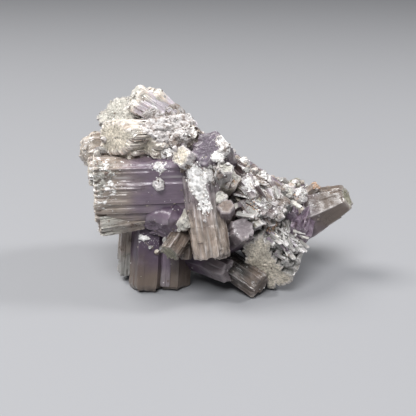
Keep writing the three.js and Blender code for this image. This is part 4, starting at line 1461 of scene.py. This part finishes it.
def add_colour_mix(tree, place, factor, first, second):
    """Mixes a colour from the tree and a plain one by a factor."""
    made = add_node(tree, "ShaderNodeMix", place, {"data_type": "RGBA"})
    tree.links.new(factor, made.inputs[0])
    tree.links.new(first, made.inputs[6])
    made.inputs[7].default_value = (*linear(second), 1.0)
    return made.outputs[2]


def add_scaled(tree, place, colour, amount):
    made = add_node(tree, "ShaderNodeVectorMath", place, {"operation": "SCALE"})
    tree.links.new(colour, made.inputs[0])
    tree.links.new(amount, made.inputs["Scale"])
    return made.outputs["Vector"]


def add_cover(tree, place, share, crumbling):
    """A share from the mesh, made patchy by noise, with nothing where the share is nothing."""
    total = add_node(tree, "ShaderNodeMath", place, {"operation": "MULTIPLY_ADD"})
    tree.links.new(share, total.inputs[0])
    total.inputs[1].default_value = 1.6
    tree.links.new(crumbling, total.inputs[2])
    return add_range(tree, (place[0] + 200, place[1]), total.outputs["Value"], 0.45, 0.6, 0.0, 1.0)


def add_bump(tree, place, height, distance, strength, skin):
    sizes = {"Strength": strength, "Distance": distance}
    made = add_node(tree, "ShaderNodeBump", place, inputs=sizes)
    tree.links.new(height, made.inputs["Height"])
    tree.links.new(made.outputs["Normal"], skin.inputs["Normal"])


def aragonite_material(colours):
    """Waxy striated crystal. Its tint comes from the mesh, its streaks, mottling and sugar from noise."""
    if "aragonite" in bpy.data.materials:
        return bpy.data.materials["aragonite"]
    wax = {
        "IOR": 1.6, "Coat Weight": 0.25, "Coat Roughness": 0.15, "Subsurface Weight": 0.3,
        "Subsurface Radius": (1.0, 0.85, 0.9), "Subsurface Scale": 0.0012,
    }
    material, tree, skin = fresh_material("aragonite", 1400, wax)
    tinted = add_attribute(tree, (-1100, 400), "tint")
    look = add_attribute(tree, (-1100, 150), "look")
    smooth = look.outputs["Alpha"]
    parts = add_node(tree, "ShaderNodeSeparateColor", (-900, 150))
    tree.links.new(look.outputs["Color"], parts.inputs["Color"])
    end_face = parts.outputs["Red"]
    place = add_node(tree, "ShaderNodeTexCoord", (-1500, -300))
    streaks = add_lath_noise(tree, (-1100, -500), place.outputs["UV"], STREAK_STRETCH, 5.0)
    sugar = add_noise(tree, (-1100, -800), place.outputs["Object"], SUGAR_SCALE, 4.0)
    clouds = add_noise(tree, (-1100, -1100), place.outputs["Object"], CLOUD_SCALE, 5.0)

    # lighter and darker streaks on the flanks, sugary mottling on the basal faces
    streak_tone = add_range(tree, (-1000, -500), streaks, 0.3, 0.7, 0.7, 1.28)
    calm_tone = add_mix(tree, (-800, -500), smooth, streak_tone, 1.0)
    rough_tone = add_range(tree, (-800, -800), sugar, 0.3, 0.7, 0.5, 1.45)
    sugar_tone = add_mix(tree, (-650, -800), smooth, rough_tone, 1.0)
    tone = add_mix(tree, (-500, -500), end_face, calm_tone, sugar_tone)
    shaded = add_scaled(tree, (-250, 300), tinted.outputs["Color"], tone)
    mottling = add_range(tree, (-500, -1000), clouds, 0.35, 0.65, 0.78, 1.2)
    calm_mottling = add_mix(tree, (-300, -1000), smooth, mottling, 1.0)
    mottled = add_scaled(tree, (-50, 300), shaded, calm_mottling)
    patch = add_range(tree, (-500, -1250), clouds, 0.6, 0.72, 0.0, 0.3)
    calm_patch = add_mix(tree, (-300, -1250), smooth, patch, 0.0)
    bleached = add_colour_mix(tree, (200, 250), calm_patch, mottled, colours.pale)

    # rust and white dust, broken up into flakes
    flakes = add_lath_noise(tree, (-1100, -1500), place.outputs["UV"], FLAKE_STRETCH, 8.0, 0.68)
    crumbling = add_range(tree, (-800, -1500), flakes, 0.36, 0.64, -0.6, 0.4)
    rusty = add_cover(tree, (-500, -1500), parts.outputs["Blue"], crumbling)
    rusted = add_colour_mix(tree, (450, 250), rusty, bleached, colours.rust)
    white = add_cover(tree, (-500, -1800), parts.outputs["Green"], crumbling)
    dusted = add_colour_mix(tree, (700, 250), white, rusted, colours.white)
    tree.links.new(dusted, skin.inputs["Base Color"])

    # glossier where it is glassy, and duller under dust and on the end faces
    gloss = add_range(tree, (300, -150), clouds, 0.3, 0.7, 0.2, 0.46)
    glassy = add_mix(tree, (450, -150), smooth, gloss, 0.3)
    dull = add_mix(tree, (600, -150), white, glassy, 0.62)
    duller = add_mix(tree, (800, -150), end_face, dull, 0.6)
    tree.links.new(duller, skin.inputs["Roughness"])
    rough_share = add_mix(tree, (0, -600), white, end_face, 1.0)
    calm_streaks = add_mix(tree, (100, -450), smooth, streaks, clouds)
    height = add_mix(tree, (300, -500), rough_share, calm_streaks, sugar)
    add_bump(tree, (1100, -400), height, 0.0003, 0.7, skin)
    return material


def sugar_material(name, radius, roughness):
    """Sugary grains, each with its own tone, a little darker in their hollows as painted shade."""
    if name in bpy.data.materials:
        return bpy.data.materials[name]
    grainy = {
        "Roughness": roughness, "IOR": 1.55, "Subsurface Weight": 0.2, "Subsurface Radius": radius,
        "Subsurface Scale": 0.0006,
    }
    material, tree, skin = fresh_material(name, 500, grainy)
    tinted = add_attribute(tree, (-400, 200), "tint")
    place = add_node(tree, "ShaderNodeTexCoord", (-800, -100))
    mottle = add_noise(tree, (-600, -100), place.outputs["Object"], CRUST_SCALE, 4.0)
    # darker where the bump is low: mottling and painted shade in the hollows
    tone = add_range(tree, (-200, -100), mottle, 0.35, 0.6, 0.55, 1.06)
    shaded = add_scaled(tree, (100, 200), tinted.outputs["Color"], tone)
    tree.links.new(shaded, skin.inputs["Base Color"])
    add_bump(tree, (250, -300), mottle, 0.0005, 0.8, skin)
    return material


def crust_material():
    return sugar_material("white_crust", (1.0, 0.95, 0.9), 0.6)


def rust_material():
    return sugar_material("rusty_grains", (1.0, 0.6, 0.4), 0.55)


# ---------------------------------------------------------------------------------------------
# Stage, in metres

FLOOR_REACH = 3.0  # how far it runs each way
LAMPS = (  # (name, place, width, power, colour)
    ("window", (-0.42, 0.06, 0.68), 0.4, 6.6, (1.0, 0.99, 0.97)),
    ("room", (-0.12, -0.58, 0.78), 0.5, 9.6, (0.98, 0.99, 1.0)),
    ("glint", (0.45, 0.05, 0.45), 0.12, 2.2, (1.0, 1.0, 1.0)),
)
LAMP_TARGET = (0.0, 0.0, 0.015)
ROOM_COLOUR = (0.93, 0.95, 1.0, 1.0)
ROOM_LIGHT = 0.17
CAMERA_PLACE = (-0.0025, -0.19206, 0.08643)
CAMERA_TILT = 70  # degrees up from straight down
SENSOR_WIDTH = 36  # millimetres
LENS_LENGTH = 850 / 416  # in widths of the picture


def add_lamp(name, place, size, power, colour):
    light = bpy.data.lights.new(name, "AREA")
    light.shape = "DISK"
    light.size = size
    light.energy = power
    light.color = colour
    lamp = add_object(name, light)
    lamp.location = place
    way = Vector(LAMP_TARGET) - lamp.location
    lamp.rotation_euler = way.to_track_quat("-Z", "Y").to_euler()


def lay_floor(colour):
    bm = bmesh.new()
    bmesh.ops.create_grid(bm, x_segments=1, y_segments=1, size=FLOOR_REACH)
    mesh = mesh_from(bm, "floor")
    plain = {"Base Color": (*linear(colour), 1.0), "Roughness": 0.8}
    material, _, _ = fresh_material("plain_floor", 200, plain)
    mesh.materials.append(material)
    floor = add_object("floor", mesh)


def set_stage(context):
    colours, _ = settings_of(context)
    scene = context.scene
    lay_floor(colours.floor)
    for lamp in LAMPS:
        add_lamp(*lamp)
    world = bpy.data.worlds.new("soft_room")
    world.use_nodes = True
    sky = world.node_tree.nodes["Background"]
    sky.inputs["Color"].default_value = ROOM_COLOUR
    sky.inputs["Strength"].default_value = ROOM_LIGHT
    scene.world = world
    scene.view_settings.view_transform = "Standard"
    scene.view_settings.look = "None"

    camera = add_object("camera", bpy.data.cameras.new("camera"))
    camera.location = CAMERA_PLACE
    camera.rotation_euler = (math.radians(CAMERA_TILT), 0, 0)
    camera.data.sensor_width = SENSOR_WIDTH
    camera.data.lens = SENSOR_WIDTH * LENS_LENGTH
    camera.data.clip_start = 0.01
    camera.data.clip_end = 20
    scene.camera = camera


# ---------------------------------------------------------------------------------------------
# Operators and panel


class ARAGONITE_OT_left_crystals(bpy.types.Operator):
    """Grow the long striated block on the left and what hangs from it"""

    bl_idname = "aragonite.left_crystals"
    bl_label = "Left crystals"

    def execute(self, context):
        grow_group(context, "left")
        return {"FINISHED"}


class ARAGONITE_OT_upper_crystals(bpy.types.Operator):
    """Grow the bleached crystals at the upper left"""

    bl_idname = "aragonite.upper_crystals"
    bl_label = "Upper crystals"

    def execute(self, context):
        grow_group(context, "upper")
        return {"FINISHED"}


class ARAGONITE_OT_middle_crystals(bpy.types.Operator):
    """Grow the crown, the crystals round it and the prism that hangs in the middle"""

    bl_idname = "aragonite.middle_crystals"
    bl_label = "Middle crystals"

    def execute(self, context):
        grow_group(context, "middle")
        return {"FINISHED"}


class ARAGONITE_OT_right_crystals(bpy.types.Operator):
    """Grow the ridge, the broken block and the far spur on the right"""

    bl_idname = "aragonite.right_crystals"
    bl_label = "Right crystals"

    def execute(self, context):
        grow_group(context, "right")
        return {"FINISHED"}


class ARAGONITE_OT_foot_crystals(bpy.types.Operator):
    """Grow the crystals that the cluster stands on, and its heart"""

    bl_idname = "aragonite.foot_crystals"
    bl_label = "Foot crystals"

    def execute(self, context):
        grow_group(context, "feet")
        return {"FINISHED"}


class ARAGONITE_OT_back_crystals(bpy.types.Operator):
    """Grow the crystals at the back"""

    bl_idname = "aragonite.back_crystals"
    bl_label = "Back crystals"

    def execute(self, context):
        grow_group(context, "back")
        return {"FINISHED"}


class ARAGONITE_OT_small_crystals(bpy.types.Operator):
    """Grow the beds of small stubby crystals"""

    bl_idname = "aragonite.small_crystals"
    bl_label = "Small crystals"

    def execute(self, context):
        grow_small_crystals(context)
        return {"FINISHED"}


class ARAGONITE_OT_white_crust(bpy.types.Operator):
    """Lay the sheets of white crust"""

    bl_idname = "aragonite.white_crust"
    bl_label = "White crust"

    def execute(self, context):
        lay_white_crust(context)
        return {"FINISHED"}


class ARAGONITE_OT_crumbs(bpy.types.Operator):
    """Scatter the grains of crust and the crumbs in the crevices"""

    bl_idname = "aragonite.crumbs"
    bl_label = "Crumbs"

    def execute(self, context):
        lay_crumbs(context)
        return {"FINISHED"}


class ARAGONITE_OT_rusty_grains(bpy.types.Operator):
    """Lay the iron stained grains"""

    bl_idname = "aragonite.rusty_grains"
    bl_label = "Rusty grains"

    def execute(self, context):
        lay_rusty_grains(context)
        return {"FINISHED"}


class ARAGONITE_OT_stage(bpy.types.Operator):
    """Set the floor, the lights and the camera"""

    bl_idname = "aragonite.stage"
    bl_label = "Stage"

    def execute(self, context):
        set_stage(context)
        return {"FINISHED"}


OPERATORS = (
    ARAGONITE_OT_left_crystals,
    ARAGONITE_OT_upper_crystals,
    ARAGONITE_OT_middle_crystals,
    ARAGONITE_OT_right_crystals,
    ARAGONITE_OT_foot_crystals,
    ARAGONITE_OT_back_crystals,
    ARAGONITE_OT_small_crystals,
    ARAGONITE_OT_white_crust,
    ARAGONITE_OT_crumbs,
    ARAGONITE_OT_rusty_grains,
    ARAGONITE_OT_stage,
)


class ARAGONITE_PT_cluster(bpy.types.Panel):
    """Colours, sizes and pieces of the cluster"""

    bl_label = "Aragonite Cluster"
    bl_idname = "ARAGONITE_PT_cluster"
    bl_space_type = "VIEW_3D"
    bl_region_type = "UI"
    bl_category = "Aragonite"

    def draw(self, context):
        for group in settings_of(context):
            box = self.layout.box()
            for name in group.__annotations__:
                box.prop(group, name)
        column = self.layout.column(align=True)
        for operator in OPERATORS:
            column.operator(operator.bl_idname)


CLASSES = (ClusterColours, ClusterSizes, *OPERATORS, ARAGONITE_PT_cluster)


def register():
    for cls in CLASSES:
        bpy.utils.register_class(cls)
    bpy.types.Scene.aragonite_colours = PointerProperty(type=ClusterColours)
    bpy.types.Scene.aragonite_sizes = PointerProperty(type=ClusterSizes)


def unregister():
    del bpy.types.Scene.aragonite_sizes
    del bpy.types.Scene.aragonite_colours
    for cls in reversed(CLASSES):
        bpy.utils.unregister_class(cls)


def main():
    register()
    bpy.ops.aragonite.left_crystals()
    bpy.ops.aragonite.upper_crystals()
    bpy.ops.aragonite.middle_crystals()
    bpy.ops.aragonite.right_crystals()
    bpy.ops.aragonite.foot_crystals()
    bpy.ops.aragonite.back_crystals()
    bpy.ops.aragonite.small_crystals()
    bpy.ops.aragonite.white_crust()
    bpy.ops.aragonite.crumbs()
    bpy.ops.aragonite.rusty_grains()
    bpy.ops.aragonite.stage()


if __name__ == "__main__":
    main()
